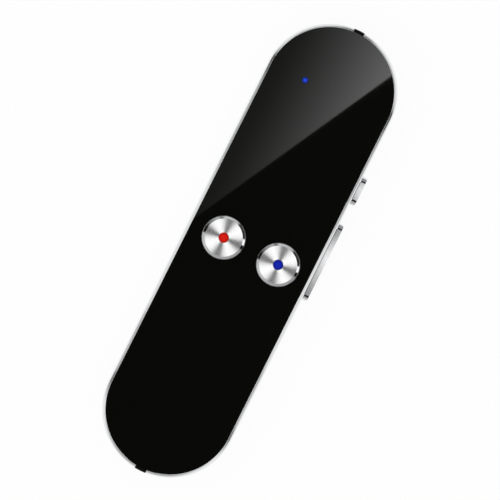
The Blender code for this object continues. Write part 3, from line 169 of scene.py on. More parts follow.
class Graph:
    """A node tree that is being written."""

    def __init__(self, tree: bpy.types.NodeTree) -> None:
        """Empty a node tree and keep it.

        Args:
            tree: The node tree of a material or a world.
        """
        self.tree = tree
        tree.nodes.clear()

    def node(self, kind: str, settings: Optional[dict] = None, inputs: Optional[dict] = None,
             output: Union[int, str] = 0) -> Signal:
        """Add a node.

        Args:
            kind: The node's type name.
            settings: Its settings, with a ramp's stops under the name stops.
            inputs: Values or signals by socket name or number.
            output: The output to return, by name or number.

        Returns:
            The chosen output as a signal.
        """
        node = self.tree.nodes.new(kind)
        for name, value in (settings or {}).items():
            if name == "stops":
                self.set_stops(node.color_ramp, value)
            else:
                setattr(node, name, value)
        for key, value in (inputs or {}).items():
            self.feed(node.inputs[key], value)
        return Signal(self, node.outputs[output])

    def feed(self, socket: bpy.types.NodeSocket, value: Union[Number, Sequence[float]]) -> None:
        """Link a signal to an input socket, or set its value."""
        if isinstance(value, Signal):
            self.tree.links.new(value.socket, socket)
        elif socket.type == "VECTOR" and isinstance(value, (int, float)):
            socket.default_value = (value, value, value)
        elif socket.type == "RGBA" and len(value) == 3:
            socket.default_value = (*value, 1.0)
        else:
            socket.default_value = value

    @staticmethod
    def set_stops(ramp: bpy.types.ColorRamp, stops: Sequence[tuple[float, float]]) -> None:
        """Give a ramp its grey stops, as pairs of place and brightness."""
        while len(ramp.elements) > 1:
            ramp.elements.remove(ramp.elements[-1])
        ramp.elements[0].position = stops[0][0]
        ramp.elements[0].color = (*[stops[0][1]] * 3, 1.0)
        for place, brightness in stops[1:]:
            element = ramp.elements.new(place)
            element.color = (brightness, brightness, brightness, 1.0)

    def mix(self, factor: Number, first: Union[Signal, Sequence[float]],
            second: Union[Signal, Sequence[float]]) -> Signal:
        """Blend two colours by a factor."""
        settings = {"data_type": "RGBA"}
        return self.node("ShaderNodeMix", settings, {0: factor, 6: first, 7: second}, output=2)

    def ramp(self, place: Number, stops: Sequence[tuple[float, float]]) -> Signal:
        """Read a brightness off a ramp of grey stops, at a place from 0 to 1."""
        colour = self.node("ShaderNodeValToRGB", {"stops": stops}, {0: place})
        return self.node("ShaderNodeRGBToBW", inputs={0: colour})

    def place(self) -> Signal:
        """The point's own place in the frame of the part."""
        return self.node("ShaderNodeTexCoord", output="Object")

    def from_axis(self, centre: Corner) -> Signal:
        """The point's distance from an upright axis."""
        axis = self.node("ShaderNodeCombineXYZ", inputs={0: centre[0], 1: centre[1]})
        flat = self.stretched(self.place() - axis, 1.0, 1.0, 0.0)
        return Signal(self, flat.math("LENGTH").socket.node.outputs["Value"])

    def noise(self, vector: Signal, scale: float, detail: float = 2.0,
              rough: float = 0.5) -> Signal:
        """Smooth noise from 0 to 1 at a number of cells per metre."""
        values = {"Vector": vector, "Scale": scale, "Detail": detail, "Roughness": rough}
        return self.node("ShaderNodeTexNoise", {"noise_dimensions": "3D"}, values)

    def cells(self, vector: Signal, scale: float, feature: str = "F1") -> Signal:
        """Distance to the nearest cell point or edge at a number of cells per metre."""
        values = {"Vector": vector, "Scale": scale}
        return self.node("ShaderNodeTexVoronoi", {"feature": feature}, values)

    def stretched(self, vector: Signal, x: float, y: float, z: float) -> Signal:
        """Scale a vector's coordinates by three shares."""
        return self.node("ShaderNodeMapping", inputs={"Vector": vector, "Scale": (x, y, z)})

    def bump(self, height: Signal, distance: float) -> Signal:
        """Turn a height from 0 to 1 into a normal, for a relief of a real depth."""
        values = {"Height": height, "Distance": distance, "Strength": 1.0}
        return self.node("ShaderNodeBump", inputs=values)

    def principled(self, **values: Union[Number, Sequence[float]]) -> Signal:
        """Add a Principled shader, with its sockets named with underscores."""
        inputs = {name.replace("_", " "): value for name, value in values.items()}
        return self.node("ShaderNodeBsdfPrincipled", inputs=inputs)

    def node_output(self, kind: str, shader: Signal) -> None:
        """Add the output node and feed it."""
        output = self.tree.nodes.new(kind)
        self.tree.links.new(shader.socket, output.inputs["Surface"])


# Finishes

@dataclass(frozen=True)
class Finish:
    """A named surface finish.

    Attributes:
        name: The material's name.
        colour: The base colour.
        roughness: The mean roughness.
    """

    name: str
    colour: tuple[float, float, float]
    roughness: float

    def material(self) -> bpy.types.Material:
        """Return the finish's material, and write it the first time."""
        name = f"{self.name}_finish"
        found = bpy.data.materials.get(name)
        if found:
            return found
        made = bpy.data.materials.new(name)
        made.use_nodes = True
        graph = Graph(made.node_tree)
        graph.node_output("ShaderNodeOutputMaterial", self.shader(graph))
        return made

    def shader(self, graph: Graph) -> Signal:
        """Write the finish's nodes and return its shader."""
        raise NotImplementedError

    def tinted(self, graph: Graph, amount: Signal, spread: float) -> Signal:
        """Vary the base colour by a share either way, as a signal from 0 to 1 goes."""
        darker = [channel * (1 - spread) for channel in self.colour]
        lighter = [min(1.0, channel * (1 + spread)) for channel in self.colour]
        return graph.mix(amount, darker, lighter)


@dataclass(frozen=True)
class PolishedMetal(Finish):
    """Plated or polished metal, with faint smears and hairlines."""

    smear: float = 0.04
    hairline: float = 0.00000002
    hairline_stretch: tuple[float, float, float] = (1.0, 0.08, 1.0)

    def shader(self, graph: Graph) -> Signal:
        """Write smears into the roughness and hairlines into the relief."""
        place = graph.place()
        smears = graph.noise(place, 110.0, 3.0)
        lines = graph.noise(graph.stretched(place, *self.hairline_stretch), 9000.0, 1.0)
        return graph.principled(
            Base_Color=self.tinted(graph, smears, 0.03), Metallic=1.0,
            Roughness=smears.step(0.35, 0.75) * self.smear + self.roughness,
            Normal=graph.bump(lines, self.hairline))


@dataclass(frozen=True)
class SpunMetal(Finish):
    """Metal turned on a lathe: grooves round an axis, which stretch the light outwards.

    Attributes:
        centre: Where the axis stands.
        groove: The grooves' spacing.
        depth: Their depth.
    """

    centre: Corner = (0.0, 0.0)
    groove: float = 0.00011
    depth: float = 0.0000006

    def shader(self, graph: Graph) -> Signal:
        """Write the grooves from the distance to the axis."""
        ring = graph.node("ShaderNodeCombineXYZ", inputs={0: graph.from_axis(self.centre)})
        cut = graph.noise(ring, 1.0 / self.groove, 2.0, 0.6)
        broad = graph.noise(ring, 900.0, 1.0)
        return graph.principled(
            Base_Color=self.tinted(graph, broad * 0.5 + cut * 0.5, 0.10), Metallic=1.0,
            Roughness=cut * 0.05 + self.roughness, Anisotropic=1.0, Anisotropic_Rotation=0.25,
            Normal=graph.bump(cut, self.depth))


@dataclass(frozen=True)
class GlossPanel(Finish):
    """Polished acrylic, back-printed black, with a trace of wiping marks."""

    def shader(self, graph: Graph) -> Signal:
        """Write the wiping marks into the roughness, and dust into the colour."""
        place = graph.place()
        wiped = graph.noise(graph.stretched(place, 1.0, 0.25, 1.0), 160.0, 4.0)
        dust = graph.cells(place, 900.0).step(0.10, 0.02)
        depth = graph.noise(place, 30.0, 1.0)
        base = self.tinted(graph, depth, 0.15)
        return graph.principled(
            Base_Color=graph.mix(dust * 0.04, base, (0.05, 0.05, 0.05)), IOR=1.5,
            Roughness=wiped * 0.003 + self.roughness)


@dataclass(frozen=True)
class MouldedPlastic(Finish):
    """Spark-eroded moulded plastic: a fine grain with soft clouding.

    Attributes:
        grain: The grain's cells per metre.
        relief: The grain's depth.
        gloss: The shader's specular level.
    """

    grain: float = 5200.0
    relief: float = 0.000006
    gloss: float = 0.5

    def shader(self, graph: Graph) -> Signal:
        """Write the grain into the relief and the clouding into colour and roughness."""
        place = graph.place()
        clouds = graph.noise(place, 60.0, 3.0)
        grain = graph.noise(place, self.grain, 3.0, 0.65)
        return graph.principled(
            Base_Color=self.tinted(graph, clouds * 0.5 + grain * 0.5, 0.18),
            Roughness=clouds * 0.10 + self.roughness, Specular_IOR_Level=self.gloss,
            Normal=graph.bump(grain, self.relief))


@dataclass(frozen=True)
class Enamel(Finish):
    """A glossy domed dot, with painted shade that deepens its colour towards its edge.

    Attributes:
        centre: Where its axis stands.
        radius: Its radius.
        edge: The colour at its edge, darkened as painted shade.
    """

    centre: Corner = (0.0, 0.0)
    radius: float = 0.001
    edge: tuple[float, float, float] = (0.0, 0.0, 0.0)

    def shader(self, graph: Graph) -> Signal:
        """Deepen the colour outwards, as painted shade of the dome's edge."""
        radius = graph.from_axis(self.centre) / self.radius
        clouds = graph.noise(graph.place(), 900.0, 2.0)
        # Painted shade: the colour darkens from a third of the way out towards the edge.
        colour = graph.mix(radius.step(0.35, 1.0) * 0.8 + clouds * 0.1, self.colour, self.edge)
        return graph.principled(
            Base_Color=colour, Roughness=clouds * 0.05 + self.roughness, IOR=1.5,
            Specular_IOR_Level=0.04)


@dataclass(frozen=True)
class LitWindow(Finish):
    """A clear window with a light behind it, brightest in the middle.

    Attributes:
        centre: Where its axis stands.
        radius: Its radius.
        glow: The light's colour in the middle.
        strength: The light's strength.
    """

    centre: Corner = (0.0, 0.0)
    radius: float = 0.001
    glow: tuple[float, float, float] = (0.0, 0.0, 1.0)
    strength: float = 1.0

    def shader(self, graph: Graph) -> Signal:
        """Write the light as an emission that fades outwards."""
        core = (graph.from_axis(self.centre) / self.radius).step(1.0, 0.0)
        return graph.principled(
            Base_Color=self.tinted(graph, core, 0.2), Roughness=core * 0.05 + self.roughness,
            IOR=1.5, Specular_IOR_Level=0.08, Emission_Strength=self.strength,
            Emission_Color=graph.mix(core, self.colour, self.glow))


@dataclass(frozen=True)
class CircuitBoard(Finish):
    """Solder mask over copper tracks, with pads."""

    def shader(self, graph: Graph) -> Signal:
        """Write tracks as raised, lighter lines and pads as gold spots."""
        place = graph.place()
        tracks = graph.cells(graph.stretched(place, 1.0, 0.3, 1.0), 700.0, "DISTANCE_TO_EDGE")
        track = tracks.step(0.10, 0.06)
        pads = graph.cells(place, 350.0).step(0.16, 0.14)
        mask = graph.mix(track * 0.5, self.colour, [channel * 2.4 for channel in self.colour])
        return graph.principled(
            Base_Color=graph.mix(pads, mask, (0.75, 0.55, 0.22)), Metallic=pads,
            Roughness=self.roughness - track * 0.08, Normal=graph.bump(track + pads, 0.00002))


@dataclass(frozen=True)
class Foil(Finish):
    """Laminated pouch foil with soft wrinkles."""

    def shader(self, graph: Graph) -> Signal:
        """Write the wrinkles as stretched noise in the relief."""
        place = graph.place()
        wrinkles = graph.noise(graph.stretched(place, 1.0, 0.4, 1.0), 260.0, 4.0, 0.6)
        return graph.principled(
            Base_Color=self.tinted(graph, wrinkles, 0.08), Metallic=0.9,
            Roughness=wrinkles * 0.15 + self.roughness, Normal=graph.bump(wrinkles, 0.00012))


@dataclass(frozen=True)
class CellFoam(Finish):
    """Foam or rubber with open pores.

    Attributes:
        pores: The pores per metre.
        depth: Their depth.
    """

    pores: float = 2600.0
    depth: float = 0.00008

    def shader(self, graph: Graph) -> Signal:
        """Write the pores as darker pits."""
        pits = graph.cells(graph.place(), self.pores)
        return graph.principled(
            Base_Color=self.tinted(graph, pits, 0.5), Roughness=pits * 0.05 + self.roughness,
            Normal=graph.bump(pits, self.depth))


@dataclass(frozen=True)
class WovenMesh(Finish):
    """Acoustic mesh: threads over and under at right angles.

    Attributes:
        pitch: The threads' spacing.
    """

    pitch: float = 0.00018

    def shader(self, graph: Graph) -> Signal:
        """Write both sets of threads from sines of the place."""
        place = graph.place()
        turn = FULL_TURN / self.pitch
        warp = (place.part("X") * turn).math("SINE") * 0.5 + 0.5
        weft = (place.part("Y") * turn).math("SINE") * 0.5 + 0.5
        threads = warp.math("MAXIMUM", weft)
        return graph.principled(
            Base_Color=self.tinted(graph, threads, 0.6), Roughness=threads * 0.1 + self.roughness,
            Normal=graph.bump(threads, 0.00004))


@dataclass(frozen=True)
class Glaze(Finish):
    """Insulation, ceramic or packages: an even skin with fine speckle."""

    speckle: float = 3000.0

    def shader(self, graph: Graph) -> Signal:
        """Write the speckle into colour and roughness."""
        spots = graph.noise(graph.place(), self.speckle, 2.0)
        return graph.principled(
            Base_Color=self.tinted(graph, spots, 0.12), Roughness=spots * 0.12 + self.roughness,
            Normal=graph.bump(spots, 0.000004))


CHROME = PolishedMetal("band_chrome", (0.79, 0.80, 0.81), 0.018, 0.012)
KEY_RIM_POLISH = PolishedMetal("key_rim_polish", (0.86, 0.87, 0.88), 0.03, 0.02)
SIDE_KEY_CHROME = PolishedMetal("side_key_chrome", (0.84, 0.85, 0.86), 0.012, 0.006)
PANEL_BLACK = GlossPanel("panel_black", (0.0027, 0.0027, 0.0021), 0.004)
COVER_BLACK = MouldedPlastic("cover_black", (0.010, 0.010, 0.011), 0.42)
INSERT_BLACK = MouldedPlastic("insert_black", (0.004, 0.004, 0.004), 0.45, relief=0.000003,
                              gloss=0.02)
FRAME_GREY = MouldedPlastic("frame_grey", (0.012, 0.012, 0.013), 0.55)
DARK_PLASTIC = MouldedPlastic("dark_plastic", (0.02, 0.02, 0.02), 0.48, grain=4000.0)
CREAM_PLASTIC = MouldedPlastic("connector_cream", (0.80, 0.76, 0.62), 0.45)
PLATED_STEEL = PolishedMetal("plated_steel", (0.58, 0.58, 0.59), 0.22, 0.10, 0.000001)
CONTACT_GOLD = PolishedMetal("contact_gold", (0.83, 0.62, 0.26), 0.16, 0.06)
BOARD_GREEN = CircuitBoard("board_green", (0.01, 0.09, 0.04), 0.42)
BATTERY_FOIL = Foil("battery_foil", (0.62, 0.63, 0.64), 0.30)
FOAM = CellFoam("foam", (0.06, 0.06, 0.06), 0.90)
BOOT_RUBBER = CellFoam("boot_rubber", (0.02, 0.02, 0.02), 0.75, 6000.0, 0.00001)
SPEAKER_CLOTH = WovenMesh("speaker_cloth", (0.03, 0.03, 0.03), 0.60)
LEAD_RED = Glaze("lead_red", (0.50, 0.01, 0.01), 0.40)
LEAD_BLACK = Glaze("lead_black", (0.01, 0.01, 0.01), 0.40)
LED_WHITE = Glaze("led_white", (0.90, 0.90, 0.85), 0.35)
PAPER_FILM = Glaze("film", (0.20, 0.19, 0.17), 0.55, 5000.0)
CERAMIC = Glaze("ceramic", (0.75, 0.73, 0.68), 0.40)

INNER_FINISHES: dict[Finish, tuple[str, ...]] = {
    FRAME_GREY: ("mid_frame",),
    PLATED_STEEL: (
        "red_switch_base", "blue_switch_base", "power_switch_base", "volume_up_switch_base",
        "volume_down_switch_base", "shield_can", "speaker_magnet", "microphone", "crystal",
        "board_screw_1", "board_screw_2", "board_screw_3", "board_screw_4", "board_screw_5"),
    DARK_PLASTIC: (
        "red_switch_plunger", "blue_switch_plunger", "power_switch_plunger",
        "volume_up_switch_plunger", "volume_down_switch_plunger", "speaker_basket", "processor",
        "memory_chip"),
    SPEAKER_CLOTH: ("speaker_mesh",),
    CREAM_PLASTIC: ("battery_connector",),
    BOARD_GREEN: ("main_board",),
    BATTERY_FOIL: ("battery",),
    FOAM: ("battery_pad", "speaker_gasket"),
    BOOT_RUBBER: ("microphone_boot",),
    LEAD_RED: ("battery_lead_red", "speaker_lead_red"),
    LEAD_BLACK: ("battery_lead_black", "speaker_lead_black"),
    LED_WHITE: ("status_led",),
    PAPER_FILM: ("speaker_diaphragm",),
    CERAMIC: ("antenna",),
}


# Mesh building

def clean(bm: bmesh.types.BMesh) -> bmesh.types.BMesh:
    """Merge doubled vertices and point every face outwards."""
    bmesh.ops.remove_doubles(bm, verts=bm.verts[:], dist=WELD)
    bmesh.ops.recalc_face_normals(bm, faces=bm.faces[:])
    if bm.calc_volume(signed=True) < 0:
        bmesh.ops.reverse_faces(bm, faces=bm.faces[:])
    return bm


def wire(bm: bmesh.types.BMesh, points: Sequence[Sequence[float]], closed: bool) -> list:
    """Lay vertices and the edges between them.

    Args:
        bm: The mesh to add to.
        points: The vertices' places.
        closed: Whether the last vertex joins the first.

    Returns:
        The vertices and edges.
    """
    verts = [bm.verts.new(point) for point in points]
    pairs = list(zip(verts, verts[1:]))
    if closed:
        pairs.append((verts[-1], verts[0]))
    return verts + [bm.edges.new(pair) for pair in pairs]


def turned(profile: Sequence[Corner], centre: Corner, steps: int) -> bmesh.types.BMesh:
    """Spin a profile about an upright axis.

    Args:
        profile: Radius and height of each corner, from axis to axis.
        centre: Where the axis stands.
        steps: The facets of a full turn.

    Returns:
        The closed solid.
    """
    bm = bmesh.new()
    x, y = centre
    geom = wire(bm, [(x + radius, y, height) for radius, height in profile], closed=False)
    bmesh.ops.spin(bm, geom=geom, cent=(x, y, 0), axis=(0, 0, 1), angle=FULL_TURN, steps=steps,
                   use_merge=True)
    return clean(bm)


def round_stadium(section: Sequence[Corner], centre: float, steps: int, lanes: int,
                  closed: bool = True) -> bmesh.types.BMesh:
    """Carry a section round a stadium: half turns at both ends and straight lanes between.

    Args:
        section: Radius and height of each corner of the section.
        centre: How far the ends' axes stand from the middle.
        steps: The facets of each half turn.
        lanes: The rows of faces along each straight side.
        closed: Whether the section is a closed loop.

    Returns:
        The swept mesh.
    """
    bm = bmesh.new()
    front = wire(bm, [(radius, centre, height) for radius, height in section], closed)
    for end in (End.LIGHT, End.PORT):
        axis = (0, end.value * centre, 0)
        turn = bmesh.ops.spin(bm, geom=front, cent=axis, axis=(0, 0, 1), angle=HALF_TURN,
                              steps=steps)
        front = turn["geom_last"]
        for _ in range(lanes):
            edges = [item for item in front if isinstance(item, bmesh.types.BMEdge)]
            verts = [item for item in front if isinstance(item, bmesh.types.BMVert)]
            if edges:
                front = bmesh.ops.extrude_edge_only(bm, edges=edges)["geom"]
            else:
                front = bmesh.ops.extrude_vert_indiv(bm, verts=verts)["verts"]
            moved = [item for item in front if isinstance(item, bmesh.types.BMVert)]
            front = [item for item in front if not isinstance(item, bmesh.types.BMFace)]
            front = [item for item in front if not isinstance(item, bmesh.types.BMEdge)
                     or all(vert in moved for vert in item.verts)]
            shift = (0, -end.value * 2 * centre / lanes, 0)
            bmesh.ops.translate(bm, verts=moved, vec=shift)
    bmesh.ops.remove_doubles(bm, verts=bm.verts[:], dist=WELD)
    return bm


def raised(bm: bmesh.types.BMesh, shift: Sequence[float]) -> bmesh.types.BMesh:
    """Fill a flat outline and carry it by a shift, which closes a solid."""
    bmesh.ops.edgeloop_fill(bm, edges=bm.edges[:])
    moved = bmesh.ops.extrude_face_region(bm, geom=bm.faces[:])["geom"]
    verts = [item for item in moved if isinstance(item, bmesh.types.BMVert)]
    bmesh.ops.translate(bm, verts=verts, vec=shift)
    return clean(bm)


def dome(radius: float, top: float, crown: float, lanes: int) -> list[Corner]:
    """The profile of a domed end, from its shoulder up to the axis.

    Args:
        radius: The radius at the shoulder.
        top: The dome's highest point.
        crown: How far the dome rises.
        lanes: The rows of faces up the dome.

    Returns:
        Radius and height of each corner.
    """
    shoulder = top - crown
    profile = [(radius, shoulder)]
    for lane in range(1, lanes):
        turn = lane * QUARTER_TURN / lanes
        profile.append((radius * math.cos(turn), shoulder + crown * math.sin(turn)))
    return [*profile, (0, top)]


def middle(node: str) -> tuple[float, float, float]:
    """The middle of a CAD node's box."""
    low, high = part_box(node)
    return (low.x + high.x) / 2, (low.y + high.y) / 2, (low.z + high.z) / 2


def stadium_plate(radius: float, centre: float, low: float, high: float,
                  steps: int) -> bmesh.types.BMesh:
    """A flat stadium between two heights.

    Args:
        radius: The ends' radius.
        centre: How far the ends' axes stand from the middle.
        low: The lower height.
        high: The upper height.
        steps: The facets of each half turn.

    Returns:
        The closed solid.
    """
    outline = round_stadium([(radius, low)], centre, steps, 1, closed=False)
    return raised(outline, (0, 0, high - low))


def block(low: Sequence[float], high: Sequence[float]) -> bmesh.types.BMesh:
    """A box between two corners."""
    bm = bmesh.new()
    bmesh.ops.create_cube(bm, size=1.0)
    low, high = Vector(low), Vector(high)
    bmesh.ops.scale(bm, vec=high - low, verts=bm.verts)
    bmesh.ops.translate(bm, vec=(low + high) / 2, verts=bm.verts)
    return bm


def upright_cylinder(radius: float, centre: Corner, low: float, high: float,
                     steps: int) -> bmesh.types.BMesh:
    """A cylinder about an upright axis between two heights."""
    return turned([(0, low), (radius, low), (radius, high), (0, high)], centre, steps)


def pill(low: Sequence[float], high: Sequence[float], segments: int) -> bmesh.types.BMesh:
    """A box whose four edges along X are rounded until its Y ends are half round.

    Args:
        low: Its lowest corner.
        high: Its highest corner.
        segments: The facets of each quarter turn.

    Returns:
        The closed solid.
    """
    bm = block(low, high)
    edges = [edge for edge in bm.edges if abs(edge.verts[0].co.x - edge.verts[1].co.x) > WELD]
    soften(bm, edges, (high[2] - low[2]) / 2 - WELD, segments)
    return clean(bm)


def soften(bm: bmesh.types.BMesh, edges: Sequence[bmesh.types.BMEdge], width: float,
           segments: int) -> None:
    """Round edges off.

    Args:
        bm: The mesh.
        edges: The edges to round.
        width: How far the rounding reaches on each side.
        segments: The facets across it.
    """
    bmesh.ops.bevel(bm, geom=list(edges), offset=width, segments=segments, profile=0.5,
                    affect="EDGES", material=-1, clamp_overlap=True)


def sharp_edges(bm: bmesh.types.BMesh, degrees: float,
                where: Optional[Callable[[Vector], bool]] = None) -> list:
    """Find the edges that turn by more than an angle.

    Args:
        bm: The mesh.
        degrees: The least angle between an edge's faces.
        where: A test of the edge's middle, to choose some of them.

    Returns:
        The edges found.
    """
    found = []
    for edge in bm.edges:
        if len(edge.link_faces) == 2 and edge.calc_face_angle() > math.radians(degrees):
            middle = (edge.verts[0].co + edge.verts[1].co) / 2
            if where is None or where(middle):
                found.append(edge)
    return found


def creased(edge: bmesh.types.BMEdge, degrees: float) -> bool:
    """Tell whether an edge stays sharp: where it turns far, or ends a large flat face.

    Args:
        edge: The edge.
        degrees: The angle past which an edge is sharp.

    Returns:
        True for a sharp edge.
    """
    if len(edge.link_faces) != 2:
        return True
    angle = math.degrees(edge.calc_face_angle())
    areas = sorted(face.calc_area() for face in edge.link_faces)
    return angle > degrees or (angle > FLAT_TURN and areas[1] > FLAT_SHARE * areas[0])


def linked_object(name: str, bm: bmesh.types.BMesh) -> bpy.types.Object:
    """Turn a bmesh into an object of the scene."""
    mesh = bpy.data.meshes.new(name)
    bm.to_mesh(mesh)
    bm.free()
    made = bpy.data.objects.new(name, mesh)
    bpy.context.scene.collection.objects.link(made)
    return made


def evaluated_mesh(item: bpy.types.Object) -> bpy.types.Mesh:
    """The mesh of an object with its modifiers worked in."""
    depsgraph = bpy.context.evaluated_depsgraph_get()
    return bpy.data.meshes.new_from_object(
        item.evaluated_get(depsgraph), preserve_all_data_layers=True, depsgraph=depsgraph)


def combined(bm: bmesh.types.BMesh, tools: Sequence[bmesh.types.BMesh],
             operation: str) -> bmesh.types.BMesh:
    """Cut tools from a mesh, join them on, or keep what they share.

    Args:
        bm: The mesh to work on.
        tools: The meshes to work with, which are used up.
        operation: DIFFERENCE, UNION or INTERSECT.

    Returns:
        The result as a new bmesh.
    """
    target = linked_object("work", bm)
    helpers = [linked_object("tool", tool) for tool in tools]
    for helper in helpers:
        modifier = target.modifiers.new("shape", "BOOLEAN")
        modifier.operation = operation
        modifier.solver = "EXACT"
        modifier.object = helper
    mesh = evaluated_mesh(target)
    result = bmesh.new()
    result.from_mesh(mesh)
    bpy.data.meshes.remove(mesh)
    for item in (target, *helpers):
        data = item.data
        bpy.data.objects.remove(item)
        bpy.data.meshes.remove(data)
    bmesh.ops.remove_doubles(result, verts=result.verts[:], dist=WELD)
    return result


def add_piece(name: str, bm: bmesh.types.BMesh, body: Body, finish: Finish,
              nodes: Sequence[str] = (), sharp: float = 28.0) -> bpy.types.Object:
    """Make a finished piece of the product from a bmesh.

    Args:
        name: The piece's name.
        bm: Its mesh, which is used up.
        body: The body that it rides on.
        finish: Its finish.
        nodes: The CAD nodes that it stands for.
        sharp: The angle in degrees past which an edge stays sharp.

    Returns:
        The piece.
    """
    for face in bm.faces:
        face.smooth = True
    for edge in bm.edges:
        edge.smooth = not creased(edge, sharp)
    piece = linked_object(name, bm)
    weights = piece.modifiers.new("normals", "WEIGHTED_NORMAL")
    weights.keep_sharp = True
    weights.weight = 100
    smooth = evaluated_mesh(piece)
    piece.modifiers.clear()
    rough, piece.data = piece.data, smooth
    bpy.data.meshes.remove(rough)
    piece.data.name = name
    piece.data.materials.clear()
    piece.data.materials.append(finish.material())
    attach(piece, body.value)
    if nodes:
        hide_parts(*nodes)
    log.info("%s: %d faces on %s", name, len(piece.data.polygons), body.value)
    return piece


# Sub-assemblies

@dataclass
class CaseSizes:
    """Driving sizes of the case, read from the frame.

    Attributes:
        radius: Half of the case's width, which is also the ends' radius.
        centre: How far the ends' axes stand from the middle.
        thickness: The case's thickness.
        wall: The side band's wall.
        arc_steps: The facets of each half turn.
        lanes: The rows of faces along each straight side.
    """

    radius: float = field(init=False)
    centre: float = field(init=False)
    thickness: float = field(init=False)
    wall: float = 0.00101
    arc_steps: int = 96
    lanes: int = 24

    def __post_init__(self) -> None:
        """Read the side band's box."""
        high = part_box("side_band")[1]
        self.radius = high.x
        self.centre = high.y - high.x
        self.thickness = high.z

    @property
    def inner(self) -> float:
        """The radius of the band's inner wall."""
        return self.radius - self.wall


@dataclass
class SideKeySizes:
    """Sizes of one key in the side band.

    Attributes:
        node: The CAD node.
        body: The body that it rides on.
        flange: How far the hidden flange reaches past the head.
        gap: The gap round the head in the band.
        flange_face: Where the flange's outer face stands across the case.
    """

    node: str
    body: Body
    flange: float = 0.00050
    gap: float = 0.00025
    flange_face: float = 0.01797

    def head(self) -> tuple[Vector, Vector]:
        """Corners of the key's head, from inside the case to its face."""
        low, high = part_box(self.node)
        reach = self.flange
        foot = Vector((self.flange_face, low.y + reach, low.z + reach))
        return foot, Vector((high.x, high.y - reach, high.z - reach))


@dataclass
class SideBand:
    """The polished band round the case, with its openings.

    Attributes:
        case: The case's sizes.
        keys: The side keys that pass through it.
        lip: How far the lip at the face reaches out and falls.
        shoulder: How far the shoulder outside it reaches out and falls.
        bevel: How far the bevel outside that reaches out and falls.
        back_bevel: How far the bevel at the back reaches out and rises.
        crown: How far the wall bulges.
        crown_lanes: The rows of faces up the wall.
        lip_start: How far the lip's inner edge stands below the case's top.
        slot_width: The width of the inserts' openings.
        slot_foot: Where the inserts' openings start.
        port_reach: How far the port's window reaches past the port.
        key_segments: The facets of each quarter turn of a key slot.
        corner_angle: The angle past which an edge is rounded.
        edge: The rounding of the edges.
    """

    case: CaseSizes
    keys: Sequence[SideKeySizes]
    lip: Corner = (0.00032, 0.00017)
    shoulder: Corner = (0.00027, 0.00022)
    bevel: Corner = (0.00022, 0.00034)
    back_bevel: Corner = (0.00068, 0.00040)
    lip_start: float = 0.00002
    crown: float = 0.00020
    crown_lanes: int = 10
    slot_width: float = 0.0034
    slot_foot: float = 0.0016
    port_reach: float = 0.00095
    key_segments: int = 16
    corner_angle: float = 55
    edge: float = 0.00004

    def section(self) -> list[Corner]:
        """The band's section as radius and height, from the inner wall round to it again."""
        case = self.case
        top = case.thickness - self.lip_start
        slopes = [(case.inner, top)]
        for out, fall in (self.lip, self.shoulder, self.bevel):
            slopes.append((slopes[-1][0] + out, slopes[-1][1] - fall))
        wall_top = slopes.pop()[1]
        wall_low = self.back_bevel[1]
        corners = [(case.inner, 0.0), (case.radius - self.crown - self.back_bevel[0], 0.0)]
        for lane in range(self.crown_lanes + 1):
            share = lane / self.crown_lanes
            hollow = self.crown * (2 * share - 1) ** 2
            corners.append((case.radius - hollow, wall_low + share * (wall_top - wall_low)))
        return corners + slopes[::-1]

    def openings(self) -> list[bmesh.types.BMesh]:
        """The cutters of the key slots, the inserts' openings and the port's window."""
        case = self.case
        tools = []
        for key in self.keys:
            low, high = key.head()
            reach = Vector((0, key.gap, key.gap))
            low = Vector((case.inner - case.wall, low.y, low.z)) - reach
            high = Vector((case.radius + case.wall, high.y, high.z)) + reach
            tools.append(pill(low, high, self.key_segments))
        half = self.slot_width / 2
        past = case.centre + case.radius + case.wall
        for end in End:
            ends = sorted((end.value * case.centre, end.value * past))
            tools.append(block((-half, ends[0], self.slot_foot),
                               (half, ends[1], case.thickness + case.wall)))
        tools.append(PortOutline().plug(self.port_reach, -past, -case.centre))
        return tools

    def build(self) -> None:
        """Sweep the section, cut the openings and round the edges."""
        band = round_stadium(self.section(), self.case.centre, self.case.arc_steps, self.case.lanes)
        clean(band)
        band = combined(band, self.openings(), "DIFFERENCE")
        soften(band, sharp_edges(band, self.corner_angle), self.edge, 2)
        add_piece("polished_band", band, Body.CASE, CHROME, ["side_band"], 40.0)


@dataclass
class FacePlate:
    """The glossy face plate with its holes.

    Attributes:
        case: The case's sizes.
        keys: The round keys that pass through it.
        light: The status light.
        seat: The gap between the plate and the band.
        key_gap: The gap round a key.
        light_gap: The gap round the light.
        edge: The rounding of the edges.
        hole_steps: The facets of a hole.
    """

    case: CaseSizes
    keys: Sequence["RoundKey"]
    light: "StatusLight"
    seat: float = 0.00003
    key_gap: float = 0.00014
    light_gap: float = 0.00006
    edge: float = 0.00002
    hole_steps: int = 128

    def build(self) -> None:
        """Cut the holes from a stadium plate and round its edges."""
        low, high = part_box("front_panel")
        plate = stadium_plate(self.case.inner - self.seat, self.case.centre, low.z, high.z,
                              self.case.arc_steps)
        past = self.case.wall
        tools = []
        for key in self.keys:
            tools.append(upright_cylinder(key.radius + self.key_gap, key.centre(), low.z - past,
                                          high.z + past, self.hole_steps))
        tools.append(upright_cylinder(self.light.radius + self.light_gap, self.light.centre(),
                                      low.z - past, high.z + past, self.hole_steps))
        plate = combined(plate, tools, "DIFFERENCE")
        rims = sharp_edges(plate, CORNER_ANGLE, lambda at: at.z > high.z - WELD)
        soften(plate, rims, self.edge, 3)
        add_piece("face_plate", plate, Body.CASE, PANEL_BLACK, ["front_panel"], 12.0)


